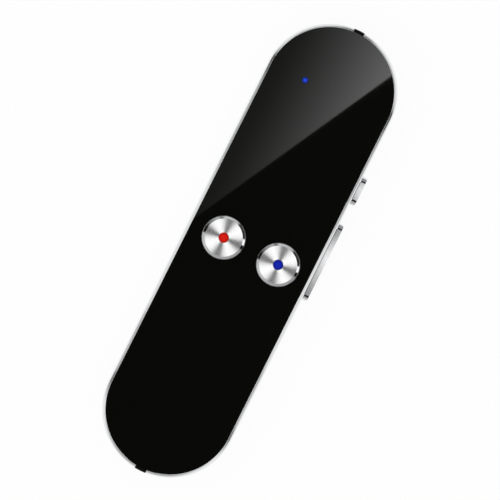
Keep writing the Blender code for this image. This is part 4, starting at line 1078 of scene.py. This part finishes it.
@dataclass
class RoundKey:
    """A round key: a spun cap with a polished rim and a domed dot.

    Attributes:
        name: The key's name in the frame.
        body: The body that it rides on.
        colour: The dot's colour.
        edge_colour: The dot's colour at its edge, darkened as painted shade.
        radius: The cap's radius.
        rim: The width of the polished rim.
        rim_fall: How far the rim falls.
        dish: How far the face is dished.
        recess_gap: The gap round the dot.
        recess: The depth of the dot's seat.
        roof: The cap's thickness over its hollow.
        wall: The cap's wall.
        soft: The rounding of the edges.
        rim_angle: The angle past which the rim's upper edges are rounded.
        seam: The gap between the spun face and the rim.
        crown: The dot's crown.
        crown_lanes: The rows of faces up the dot's crown.
        steps: The facets of a turn.
    """

    name: str
    body: Body
    colour: tuple[float, float, float]
    edge_colour: tuple[float, float, float]
    radius: float = 0.00613
    rim: float = 0.00074
    rim_fall: float = 0.00027
    dish: float = 0.00008
    recess_gap: float = 0.00006
    recess: float = 0.00035
    roof: float = 0.00090
    wall: float = 0.00080
    soft: float = 0.00004
    rim_angle: float = 25
    seam: float = 0.00001
    crown: float = 0.00022
    crown_lanes: int = 12
    steps: int = 160

    def centre(self) -> Corner:
        """Where the key's axis stands."""
        return middle(f"{self.name}_key_dot")[:2]

    def dot_radius(self) -> float:
        """The dot's radius."""
        low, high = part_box(f"{self.name}_key_dot")
        return (high.x - low.x) / 2

    def build_cap(self) -> None:
        """Turn the cap in two pieces: the spun face, and the polished rim with the skirt."""
        low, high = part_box(f"{self.name}_key_cap")
        flange = (high.x - low.x) / 2
        top = high.z
        flange_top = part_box("mid_frame")[1].z
        recess = self.dot_radius() + self.recess_gap
        face = self.radius - self.rim
        hollow = self.radius - self.wall
        under = top - self.roof
        disc = [(0, top - self.recess), (recess, top - self.recess), (recess, top - self.dish)]
        disc += [(face, top), (face, top - self.rim_fall), (0, under + self.wall / 4)]
        cap = turned(disc, self.centre(), self.steps)
        finish = SpunMetal(f"{self.name}_key_spun", (0.86, 0.86, 0.86), 0.14, self.centre())
        spun = add_piece(f"{self.name}_key_face", cap, self.body, finish)
        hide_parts(f"{self.name}_key_cap")
        inside = face + self.seam
        skirt = [(0, under), (hollow, under), (hollow, low.z), (flange, low.z)]
        skirt += [(flange, flange_top), (self.radius, flange_top)]
        skirt += [(self.radius, top - self.rim_fall), (inside, top)]
        skirt += [(inside, top - self.rim_fall - self.soft), (0, under + self.wall / 8)]
        rim = turned(skirt, self.centre(), self.steps)
        rim_low = top - self.rim_fall - WELD
        soften(rim, sharp_edges(rim, self.rim_angle, lambda at: at.z > rim_low), self.soft, 3)
        add_piece(f"{self.name}_key_rim", rim, self.body, KEY_RIM_POLISH)

    def build_dot(self) -> None:
        """Turn the domed dot."""
        low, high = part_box(f"{self.name}_key_dot")
        radius = self.dot_radius()
        profile = [(0, low.z), (radius, low.z), *dome(radius, high.z, self.crown, self.crown_lanes)]
        dot = turned(profile, self.centre(), self.steps // 2)
        finish = Enamel(f"{self.name}_dot_enamel", self.colour, 0.18, self.centre(), radius,
                        self.edge_colour)
        add_piece(f"{self.name}_dot", dot, self.body, finish,
                  [f"{self.name}_key_dot"])

    def build(self) -> None:
        """Build the cap and the dot."""
        self.build_cap()
        self.build_dot()


@dataclass
class SideKey:
    """A polished key in the side band.

    Attributes:
        sizes: The key's sizes.
        name: The piece's name.
        bevel: The rounding of its outer edge.
        corner: The rounding of its outer corners, seen from the face.
        corner_angle: The angle past which an outer edge is rounded.
        flange_thickness: The hidden flange's thickness.
        head_segments: The facets of each quarter turn of the head.
        flange_segments: The facets of each quarter turn of the flange.
    """

    sizes: SideKeySizes
    name: str
    bevel: float = 0.00030
    corner: float = 0.00100
    corner_angle: float = 50
    flange_thickness: float = 0.00070
    head_segments: int = 20
    flange_segments: int = 12

    def build(self) -> None:
        """Join the head to its flange and round the outer edge."""
        low, high = self.sizes.head()
        head = pill(low - Vector((self.flange_thickness / 2, 0, 0)), high, self.head_segments)
        plan = block(low - Vector((self.corner, 0, self.corner)),
                     high + Vector((0, 0, self.corner)))
        upright = [edge for edge in plan.edges
                   if min(vert.co.x for vert in edge.verts) > high.x - WELD
                   and abs(edge.verts[0].co.z - edge.verts[1].co.z) > WELD]
        soften(plan, upright, self.corner, 10)
        head = combined(head, [plan], "INTERSECT")
        outer = sharp_edges(head, self.corner_angle, lambda at: at.x > high.x - self.corner)
        soften(head, outer, self.bevel, 4)
        reach = Vector((0, self.sizes.flange, self.sizes.flange))
        flange_low = low - reach - Vector((self.flange_thickness, 0, 0))
        flange_high = Vector((low.x, high.y, high.z)) + reach
        head = combined(head, [pill(flange_low, flange_high, self.flange_segments)], "UNION")
        add_piece(self.name, head, self.sizes.body, SIDE_KEY_CHROME,
                  [self.sizes.node])


@dataclass
class StatusLight:
    """The status light's window in the face plate.

    Attributes:
        radius: The window's radius.
        crown: How far it is domed.
        crown_lanes: The rows of faces up its dome.
        flange_share: The hidden flange's share of the pipe's height.
        steps: The facets of a turn.
    """

    radius: float = 0.00085
    crown: float = 0.00006
    crown_lanes: int = 8
    flange_share: float = 0.1
    steps: int = 64

    def centre(self) -> Corner:
        """Where the light's axis stands."""
        return middle("led_light_pipe")[:2]

    def build(self) -> None:
        """Turn the pipe with its flange and domed window."""
        low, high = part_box("led_light_pipe")
        flange = (high.x - low.x) / 2
        lip = low.z + (high.z - low.z) * self.flange_share
        profile = [(0, low.z), (flange, low.z), (flange, lip), (self.radius, lip)]
        profile += dome(self.radius, high.z, self.crown, self.crown_lanes)
        finish = LitWindow("light_blue", (0.004, 0.012, 0.14), 0.10, self.centre(), self.radius,
                           (0.02, 0.09, 0.95), 0.68)
        pipe = turned(profile, self.centre(), self.steps)
        add_piece("status_window", pipe, Body.CASE, finish, ["led_light_pipe"])


@dataclass
class PortOutline:
    """The charging port's outline, with its cut lower corners.

    Attributes:
        corner: How far the lower corners are cut.
        soft: The rounding of all corners.
    """

    corner: float = 0.00060
    soft: float = 0.00025

    def plug(self, reach: float, low_y: float, high_y: float) -> bmesh.types.BMesh:
        """The outline, grown by a reach, as a solid between two places on Y.

        Args:
            reach: How far it grows on all sides.
            low_y: Where it starts.
            high_y: Where it ends.

        Returns:
            The closed solid.
        """
        low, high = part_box("usb_shell")
        half_x = (high.x - low.x) / 2 + reach
        bottom, top = low.z - reach, high.z + reach
        corners = [(half_x, top), (-half_x, top), (-half_x, bottom + self.corner)]
        corners += [(-half_x + self.corner, bottom), (half_x - self.corner, bottom)]
        corners.append((half_x, bottom + self.corner))
        bm = bmesh.new()
        wire(bm, [(x, low_y, z) for x, z in corners], closed=True)
        raised(bm, (0, high_y - low_y, 0))
        along = [edge for edge in bm.edges if abs(edge.verts[0].co.y - edge.verts[1].co.y) > WELD]
        soften(bm, along, self.soft, 4)
        return clean(bm)


@dataclass
class EndInsert:
    """The black insert across the rim at one end.

    Attributes:
        case: The case's sizes.
        band: The side band.
        end: The end that it closes.
        gap: The gap to the band's opening.
        sink: How far it stays below the band's surface.
        depth: How far it runs inwards.
        sound_hole: The radius of the microphone's hole.
        hole_steps: The facets of that hole.
        port_gap: The gap round the charging port.
        surround: The width of the surround of the port.
        edge: The rounding of the edges.
    """

    case: CaseSizes
    band: SideBand
    end: End
    gap: float = 0.00008
    sink: float = 0.00001
    depth: float = 0.0012
    sound_hole: float = 0.0005
    hole_steps: int = 32
    port_gap: float = 0.00012
    surround: float = 0.00085
    edge: float = 0.00004

    def ring(self) -> bmesh.types.BMesh:
        """The band's section, sunk a little and run inwards, as a whole ring."""
        inner = self.case.inner - self.depth
        section = [(inner, 0.0)]
        outline = self.band.section()[1:]
        section += [(radius - self.sink, height - self.sink) for radius, height in outline[1:]]
        section.insert(1, (outline[0][0] - self.sink, 0.0))
        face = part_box("front_panel")[1].z
        section += [(outline[-1][0] - self.sink, face - self.depth), (inner, face - self.depth)]
        return clean(round_stadium(section, self.case.centre, self.case.arc_steps, self.case.lanes))

    def build(self) -> None:
        """Cut the insert out of the ring and open its hole."""
        case, sign = self.case, self.end.value
        half = self.band.slot_width / 2 - self.gap
        past = case.centre + case.radius + case.wall
        ends = sorted((sign * case.centre, sign * past))
        slot = block((-half, ends[0], self.band.slot_foot + self.gap),
                     (half, ends[1], case.thickness))
        if self.end is End.LIGHT:
            insert = combined(self.ring(), [slot], "INTERSECT")
            hole = upright_cylinder(self.sound_hole, (0, -middle("microphone")[2]), case.centre,
                                    past, self.hole_steps)
            bmesh.ops.rotate(hole, verts=hole.verts, cent=(0, 0, 0),
                             matrix=Matrix.Rotation(-QUARTER_TURN, 3, "X"))
            insert = combined(insert, [hole], "DIFFERENCE")
            name, node = "microphone_insert", "top_insert"
        else:
            window = PortOutline().plug(self.surround, -past, -case.centre)
            shape = combined(window, [slot], "UNION")
            insert = combined(self.ring(), [shape], "INTERSECT")
            hole = PortOutline().plug(self.port_gap, -past, -case.centre)
            insert = combined(insert, [hole], "DIFFERENCE")
            name, node = "port_insert", "bottom_insert"
        soften(insert, sharp_edges(insert, CORNER_ANGLE), self.edge, 2)
        add_piece(name, insert, Body.CASE, INSERT_BLACK, [node])


@dataclass
class ChargingPort:
    """The charging port: its drawn shell, its tongue and the contacts on it.

    Attributes:
        wall: The shell's sheet.
        edge: The rounding of the mouth.
        tongue_half: Half of the tongue's width.
        tongue_thick: Half of the tongue's thickness.
        back_depth: The depth of the block that holds the tongue.
        contacts: How many contacts there are.
        contact_width: A contact's width.
        contact_gap: The space between contacts.
        contact_rise: How far a contact stands on the tongue.
        contact_start: How far the contacts start behind the tongue's tip.
        contact_end: How far they end before the tongue's back.
    """

    wall: float = 0.00030
    edge: float = 0.00008
    tongue_half: float = 0.00185
    tongue_thick: float = 0.00030
    back_depth: float = 0.0012
    contacts: int = 5
    contact_width: float = 0.00032
    contact_gap: float = 0.00030
    contact_rise: float = 0.00004
    contact_start: float = 0.0004
    contact_end: float = 0.0016

    def build_shell(self) -> None:
        """Hollow the outline and round the mouth."""
        low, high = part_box("usb_shell")
        shell = PortOutline().plug(0.0, low.y, high.y)
        hollow = PortOutline().plug(-self.wall, low.y - self.wall, high.y + self.wall)
        shell = combined(shell, [hollow], "DIFFERENCE")
        mouth = sharp_edges(shell, CORNER_ANGLE, lambda at: at.y < low.y + WELD)
        soften(shell, mouth, self.edge, 3)
        add_piece("port_shell", shell, Body.CASE, PLATED_STEEL, ["usb_shell"])

    def build_tongue(self) -> None:
        """Join the tongue to the block behind it."""
        low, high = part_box("usb_tongue")
        half, thick, level = self.tongue_half, self.tongue_thick, middle("usb_shell")[2]
        tongue = block((-half, low.y, level - thick), (half, high.y, level + thick))
        tip = sharp_edges(tongue, CORNER_ANGLE, lambda at: at.y < low.y + WELD)
        soften(tongue, tip, self.edge, 3)
        back = block((low.x, high.y - self.back_depth, low.z), high)
        tongue = combined(tongue, [back], "UNION")
        add_piece("port_tongue", tongue, Body.CASE, DARK_PLASTIC, ["usb_tongue"])

    def build_contacts(self) -> None:
        """Lay the contacts on the tongue's lower face."""
        low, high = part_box("usb_tongue")
        level = middle("usb_shell")[2] - self.tongue_thick
        half, rise = self.contact_width / 2, self.contact_rise
        start, end = low.y + self.contact_start, high.y - self.contact_end
        strips = bmesh.new()
        for number in range(self.contacts):
            x = (number - (self.contacts - 1) / 2) * (self.contact_width + self.contact_gap)
            strip = block((x - half, start, level - rise), (x + half, end, level + rise))
            mesh = bpy.data.meshes.new("strip")
            strip.to_mesh(mesh)
            strip.free()
            strips.from_mesh(mesh)
            bpy.data.meshes.remove(mesh)
        add_piece("port_contacts", strips, Body.CASE, CONTACT_GOLD)

    def build(self) -> None:
        """Build the shell, the tongue and the contacts."""
        self.build_shell()
        self.build_tongue()
        self.build_contacts()


@dataclass
class RearCover:
    """The rear cover with its speaker grille.

    Attributes:
        case: The case's sizes.
        wall: The cover's wall.
        floor: The cover's floor.
        soft: The rounding round the back.
        hole: The radius of a grille hole.
        pitch: The spacing of the grille's rings.
        rings: The rings of holes.
        first_ring: The holes in the first ring.
        hole_steps: The facets of a hole.
        hole_edge: The rounding of a hole's rim.
    """

    case: CaseSizes
    wall: float = 0.0009
    floor: float = 0.0012
    soft: float = 0.00030
    hole: float = 0.00055
    pitch: float = 0.0019
    rings: int = 2
    first_ring: int = 6
    hole_steps: int = 32
    hole_edge: float = 0.00008

    def grille(self) -> list[Corner]:
        """The places of the grille's holes, in rings round the speaker's axis."""
        x, y = middle("speaker_mesh")[:2]
        places = [(x, y)]
        for ring in range(1, self.rings + 1):
            count = ring * self.first_ring
            reach = ring * self.pitch
            for number in range(count):
                turn = FULL_TURN * number / count
                places.append((x + reach * math.cos(turn), y + reach * math.sin(turn)))
        return places

    def build(self) -> None:
        """Hollow a stadium plate, round its back and cut the grille."""
        low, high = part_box("rear_cover")
        case = self.case
        cover = stadium_plate(high.x, case.centre, low.z, high.z, case.arc_steps)
        back_edges = sharp_edges(cover, CORNER_ANGLE, lambda at: at.z < low.z + WELD)
        soften(cover, back_edges, self.soft, 5)
        pocket = stadium_plate(high.x - self.wall, case.centre, low.z + self.floor,
                               high.z + self.wall, case.arc_steps)
        cover = combined(cover, [pocket], "DIFFERENCE")
        under, over = low.z - self.floor, low.z + 2 * self.floor
        holes = [upright_cylinder(self.hole, place, under, over, self.hole_steps)
                 for place in self.grille()]
        cover = combined(cover, holes, "DIFFERENCE")
        rims = sharp_edges(cover, CORNER_ANGLE, lambda at: at.z < low.z + WELD)
        soften(cover, rims, self.hole_edge, 2)
        add_piece("back_cover", cover, Body.CASE, COVER_BLACK, ["rear_cover"], 20.0)


def dress_inner_nodes(nodes: dict) -> None:
    """Give every CAD node that stays its finish.

    Args:
        nodes: The frame's nodes by name.
    """
    for finish, names in INNER_FINISHES.items():
        for name in names:
            data = nodes[name].data
            data.materials.clear()
            data.materials.append(finish.material())
    log.info("inner nodes dressed: %d", sum(len(names) for names in INNER_FINISHES.values()))


# Studio
#
# The card tables give light levels round the case, as pairs of place and level. Places run from 0
# to 1.

# How far the bright sectors over the spun caps lean, and their fade towards X and towards Y.
SECTOR_LEAN = 5.0
ACROSS_CARDS = ((0.0, 0.0), (0.17, 0.0), (0.27, 0.15), (0.38, 0.80), (0.55, 1.15), (1.0, 1.38))
ALONG_CARDS = ((0.0, 0.0), (0.18, 0.04), (0.30, 0.36), (0.42, 0.95), (0.65, 1.22), (1.0, 1.38))
# The layer that the round keys' rims mirror, by bearing from -180 to 180 degrees.
POLISH_CARDS = (
    (0.0, 0.42), (0.12, 0.62), (0.215, 0.50), (0.225, 0.01), (0.275, 0.01), (0.29, 0.10),
    (0.385, 0.48), (0.41, 0.12), (0.44, 0.62), (0.55, 0.50), (0.57, 0.04), (0.683, 0.02),
    (0.695, 1.05), (0.733, 1.05), (0.742, 0.0), (0.767, 0.0), (0.783, 0.34), (1.0, 0.42))
# The layers that the band's lip and shoulder mirror at the round ends, by bearing from 0 to 180.
LIP_END_CARDS = (
    (0.0, 0.15), (0.07, 0.25), (0.09, 0.42), (0.12, 0.46), (0.30, 0.52), (0.37, 0.76),
    (0.41, 0.66), (0.435, 0.36), (0.455, 0.11), (0.49, 0.11), (0.51, 0.22), (0.525, 0.42),
    (0.54, 0.44), (0.575, 0.70), (0.62, 0.95), (0.70, 0.74), (0.78, 0.56), (0.86, 0.48),
    (1.0, 0.45))
SHOULDER_END_CARDS = (
    (0.0, 0.40), (0.07, 0.50), (0.10, 0.80), (0.13, 1.02), (0.33, 1.05), (0.39, 0.86),
    (0.43, 0.62), (0.455, 0.15), (0.50, 0.20), (0.52, 0.35), (0.56, 0.62), (0.60, 1.0),
    (0.72, 1.08), (0.80, 0.78), (0.86, 0.56), (1.0, 0.58))
# The layer that the straight sides mirror, from the port's end to the light's.
SIDE_CARDS = (
    (0.0, 0.28), (0.02, 0.46), (0.06, 0.66), (0.12, 0.58), (0.20, 0.50), (0.235, 0.88),
    (0.58, 0.90), (0.62, 0.82), (0.66, 0.60), (0.71, 0.50), (0.92, 0.50), (0.965, 0.33),
    (1.0, 0.10))
# The shoulder's share of the lip's level on the straight sides.
SHOULDER_GAIN = 0.98
# The bright cards that the side keys mirror: place along Y, half length and level.
KEY_CARDS = ((0.0063, 0.0110, 0.78), (0.0290, 0.0045, 0.70))


@dataclass
class Studio:
    """Camera, floor and light.

    The light is one white studio all round. Above the case hang a black flag, which keeps the face
    plate dark, and cards round it, which give the metal its bright and dark stripes. Angles are in
    degrees: heights are measured from straight up, and bearings from +Y towards +X.

    Attributes:
        lens: The camera's lens in millimetres.
        sensor: Its sensor's width in millimetres.
        view_width: The width of the photograph's frame at the face plate.
        roll: How far the case is turned clockwise in the frame.
        wedge_foot: A point of the reflected wedge's edge on the face plate.
        wedge_lean: How far that edge leans from +Y towards +X.
        aim: The point of the face in the middle of the frame.
        wedge_soft: Half of the width over which that edge fades.
        wedge_span: The width over which the wedge brightens, from the face plate's left edge.
        wedge_power: How steeply it brightens.
        wedge_gain: How much brighter its far side is.
        wedge_level: Its level at the near side.
        flag_level: The level of the flag round it.
        flag_edge: Where the flag fades out, past the face plate.
        card_width: Half of the side keys' card, and of its part at full level.
        card_length: The same along Y.
        card_level: The level of the side keys' card.
        polish_tilt: The height at which the layer for the round keys' rims starts.
        lip_tilt: The height at which the layer for the band's lip starts.
        shoulder_tilt: The height at which the layer for its shoulder starts.
        tilt_blend: Half of the height over which two layers blend.
        side_blend: Half of the length over which the straight sides' layer blends.
        floor_size: Half of the floor's side.
        floor_drop: How far the floor lies below the case.
        floor_glow: The share of white in what the camera sees of the floor.
        lamp_level: The soft lamp's share of a plain level.
        lamp_spread: The angle that the lamp fills, in degrees.
        lamp_turn: The lamp's turn about X and Y, in degrees.
    """

    lens: float = 800.0
    sensor: float = 36.0
    view_width: float = 0.14213
    roll: float = 26.59
    wedge_foot: Corner = (-0.0128, 0.0114)
    wedge_lean: float = 27.6
    aim: Corner = (-0.00006, 0.00021)
    wedge_soft: float = 0.00008
    wedge_span: float = 0.031
    wedge_power: float = 1.8
    wedge_gain: float = 2.6
    wedge_level: float = 0.16
    flag_level: float = 0.008
    flag_edge: Corner = (0.0003, 0.0001)
    card_width: Corner = (0.0035, 0.0030)
    card_length: Corner = (0.042, 0.038)
    card_level: float = 0.36
    polish_tilt: float = 36.0
    lip_tilt: float = 47.0
    shoulder_tilt: float = 68.0
    tilt_blend: float = 0.5
    side_blend: float = 0.0005
    floor_size: float = 6.0
    floor_drop: float = 0.00002
    floor_glow: float = 0.93
    lamp_level: float = 0.40
    lamp_spread: float = 80.0
    lamp_turn: Corner = (18.0, -12.0)

    def distance(self) -> float:
        """How far the camera stands from the face plate."""
        return self.view_width * self.lens / self.sensor

    def build_camera(self) -> None:
        """Stand the camera straight over the face."""
        data = bpy.data.cameras.new("camera")
        data.lens = self.lens
        data.sensor_width = self.sensor
        data.clip_start = 0.01
        data.clip_end = 50.0
        camera = bpy.data.objects.new("camera", data)
        bpy.context.scene.collection.objects.link(camera)
        camera.location = (*self.aim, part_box("front_panel")[1].z + self.distance())
        camera.rotation_euler = (0, 0, math.radians(self.roll))
        bpy.context.scene.camera = camera

    def build_floor(self) -> None:
        """Lay a pale floor, which the camera and polished surfaces see as white."""
        bm = bmesh.new()
        bmesh.ops.create_grid(bm, x_segments=1, y_segments=1, size=self.floor_size)
        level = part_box("rear_cover")[0].z - self.floor_drop
        bmesh.ops.translate(bm, verts=bm.verts, vec=(0, 0, level))
        floor = linked_object("floor", bm)
        material = bpy.data.materials.new("studio_floor")
        material.use_nodes = True
        graph = Graph(material.node_tree)
        path = graph.node("ShaderNodeLightPath", output="Is Camera Ray")
        seen = path
        for name in ("Is Glossy Ray", "Is Transmission Ray"):
            seen = seen.math("MAXIMUM", Signal(graph, path.socket.node.outputs[name]))
        grain = graph.noise(graph.place(), 30.0, 3.0)
        pale = graph.mix(grain, (0.86, 0.86, 0.86), (0.90, 0.90, 0.90))
        matt = graph.node("ShaderNodeBsdfDiffuse", inputs={"Color": pale})
        white = graph.node("ShaderNodeEmission", inputs={"Color": (1.0, 1.0, 1.0), "Strength": 1.0})
        lit = graph.node("ShaderNodeMixShader", inputs={0: seen * self.floor_glow, 1: matt, 2: white})
        under = graph.node("ShaderNodeNewGeometry", output="Backfacing")
        clear = graph.node("ShaderNodeBsdfTransparent")
        shader = graph.node("ShaderNodeMixShader", inputs={0: under, 1: lit, 2: clear})
        graph.node_output("ShaderNodeOutputMaterial", shader)
        floor.data.materials.append(material)

    def overhead(self, graph: Graph, direction: Signal, around: Signal) -> Signal:
        """Brightness straight above: the black flag with its lit wedge, and the side keys' card.

        Args:
            graph: The world's graph, which is not used.
            direction: The direction of view.
            around: The brightness round the flag and the card.

        Returns:
            The brightness.
        """
        reach = self.distance()
        height = direction.part("Z").math("MAXIMUM", 0.01)
        across = direction.part("X") / height * reach
        along = direction.part("Y") / height * reach
        case = CaseSizes()
        beyond = (along.math("ABSOLUTE") - case.centre).math("MAXIMUM", 0.0)
        radius = (across * across + beyond * beyond) ** 0.5
        flag = radius.step(case.inner + self.flag_edge[0], case.inner + self.flag_edge[1])
        edge_x, edge_y = self.wedge_foot
        lean = math.radians(self.wedge_lean)
        side = (along - edge_y) * math.sin(lean) - (across - edge_x) * math.cos(lean)
        wedge = side.step(-self.wedge_soft, self.wedge_soft)
        share = ((across + case.inner) / self.wedge_span).math("MAXIMUM", 0.0)
        lit = share ** self.wedge_power * self.wedge_gain + self.wedge_level
        shade = wedge * lit + self.flag_level
        card = (across - case.radius).math("ABSOLUTE").step(*self.card_width)
        card = card * along.math("ABSOLUTE").step(*self.card_length)
        bright = self.card_level
        for place, half, gain in KEY_CARDS:
            bright = (along - place).math("ABSOLUTE").step(half, 0.0) * gain + bright
        return flag * shade + (1 - flag) * (card * bright + (1 - card) * around)

    def sectors(self, graph: Graph, bearing: Signal) -> Signal:
        """Brightness round the zenith: four sectors, which draw the streaks on the spun caps."""
        lean = (bearing * RADIANS_PER_DEGREE).math("COSINE") ** 2.0 * SECTOR_LEAN
        quarter = ((bearing + lean).math("ABSOLUTE") - 90.0).math("ABSOLUTE")
        across = graph.ramp(quarter / 45.0, ACROSS_CARDS)
        along = graph.ramp((quarter - 90.0).math("ABSOLUTE") / 45.0, ALONG_CARDS)
        return across.math("MINIMUM", along)

    def build_world(self) -> None:
        """Write the studio as the world."""
        world = bpy.data.worlds.new("studio")
        bpy.context.scene.world = world
        world.use_nodes = True
        graph = Graph(world.node_tree)
        direction = graph.node("ShaderNodeTexCoord", output="Generated")
        up = direction.part("Z")
        tilt = up.math("ARCCOSINE") * DEGREES_PER_RADIAN
        bearing = direction.part("X").math("ARCTAN2", direction.part("Y")) * DEGREES_PER_RADIAN
        straight = CaseSizes().centre
        along = direction.part("Y") * self.distance()
        beside = along.math("ABSOLUTE").step(straight + self.side_blend, straight - self.side_blend)
        side_place = (along + straight) / (2 * straight)
        end_place = bearing.math("ABSOLUTE") / 180.0
        side_level = beside * graph.ramp(side_place, SIDE_CARDS)
        lip_end = (1 - beside) * graph.ramp(end_place, LIP_END_CARDS)
        shoulder_end = (1 - beside) * graph.ramp(end_place, SHOULDER_END_CARDS)
        layers = (
            (self.polish_tilt, graph.ramp(bearing / 360.0 + 0.5, POLISH_CARDS)),
            (self.lip_tilt, side_level + lip_end),
            (self.shoulder_tilt, side_level * SHOULDER_GAIN + shoulder_end),
        )
        brightness = self.overhead(graph, direction, self.sectors(graph, bearing))
        for start, layer in layers:
            share = tilt.step(start - self.tilt_blend, start + self.tilt_blend)
            brightness = brightness * (1 - share) + share * layer
        brightness = brightness * up.step(-0.01, 0.0)
        path = graph.node("ShaderNodeLightPath", output="Is Camera Ray")
        seen = path.math("MAXIMUM", Signal(graph, path.socket.node.outputs["Is Transmission Ray"]))
        strength = seen + (1 - seen) * brightness
        values = {"Color": (1.0, 1.0, 1.0), "Strength": strength}
        shader = graph.node("ShaderNodeBackground", inputs=values)
        graph.node_output("ShaderNodeOutputWorld", shader)

    def build_lamp(self) -> None:
        """Hang a wide, soft lamp that polished surfaces don't mirror."""
        data = bpy.data.lights.new("soft_lamp", "SUN")
        data.energy = self.lamp_level * HALF_TURN
        data.angle = math.radians(self.lamp_spread)
        lamp = bpy.data.objects.new("soft_lamp", data)
        bpy.context.scene.collection.objects.link(lamp)
        lamp.rotation_euler = (*(math.radians(turn) for turn in self.lamp_turn), 0)
        lamp.visible_glossy = False

    def build(self) -> None:
        """Build the camera, the floor and the light, and set the plain view."""
        self.build_camera()
        self.build_floor()
        self.build_world()
        self.build_lamp()
        bpy.context.scene.view_settings.view_transform = "Standard"


def main() -> None:
    """Build every piece in order, then the studio."""
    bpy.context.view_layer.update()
    case = CaseSizes()
    side_keys = [SideKeySizes("power_key", Body.POWER_BUTTON),
                 SideKeySizes("volume_key", Body.VOLUME_ROCKER)]
    band = SideBand(case, side_keys)
    # The second colour of each key is painted shade at the dot's edge.
    red = RoundKey("red", Body.RED_KEY, (0.66, 0.010, 0.004), (0.42, 0.006, 0.003))
    blue = RoundKey("blue", Body.BLUE_KEY, (0.006, 0.016, 0.40), (0.005, 0.010, 0.22))
    light = StatusLight()
    Studio().build()
    band.build()
    FacePlate(case, [red, blue], light).build()
    red.build()
    blue.build()
    light.build()
    SideKey(side_keys[0], "power_side_key").build()
    SideKey(side_keys[1], "volume_side_key").build()
    EndInsert(case, band, End.LIGHT).build()
    EndInsert(case, band, End.PORT).build()
    ChargingPort().build()
    RearCover(case).build()
    dress_inner_nodes(frame["nodes"])


if __name__ == "__main__":
    logging.basicConfig(level=logging.INFO)
    main()
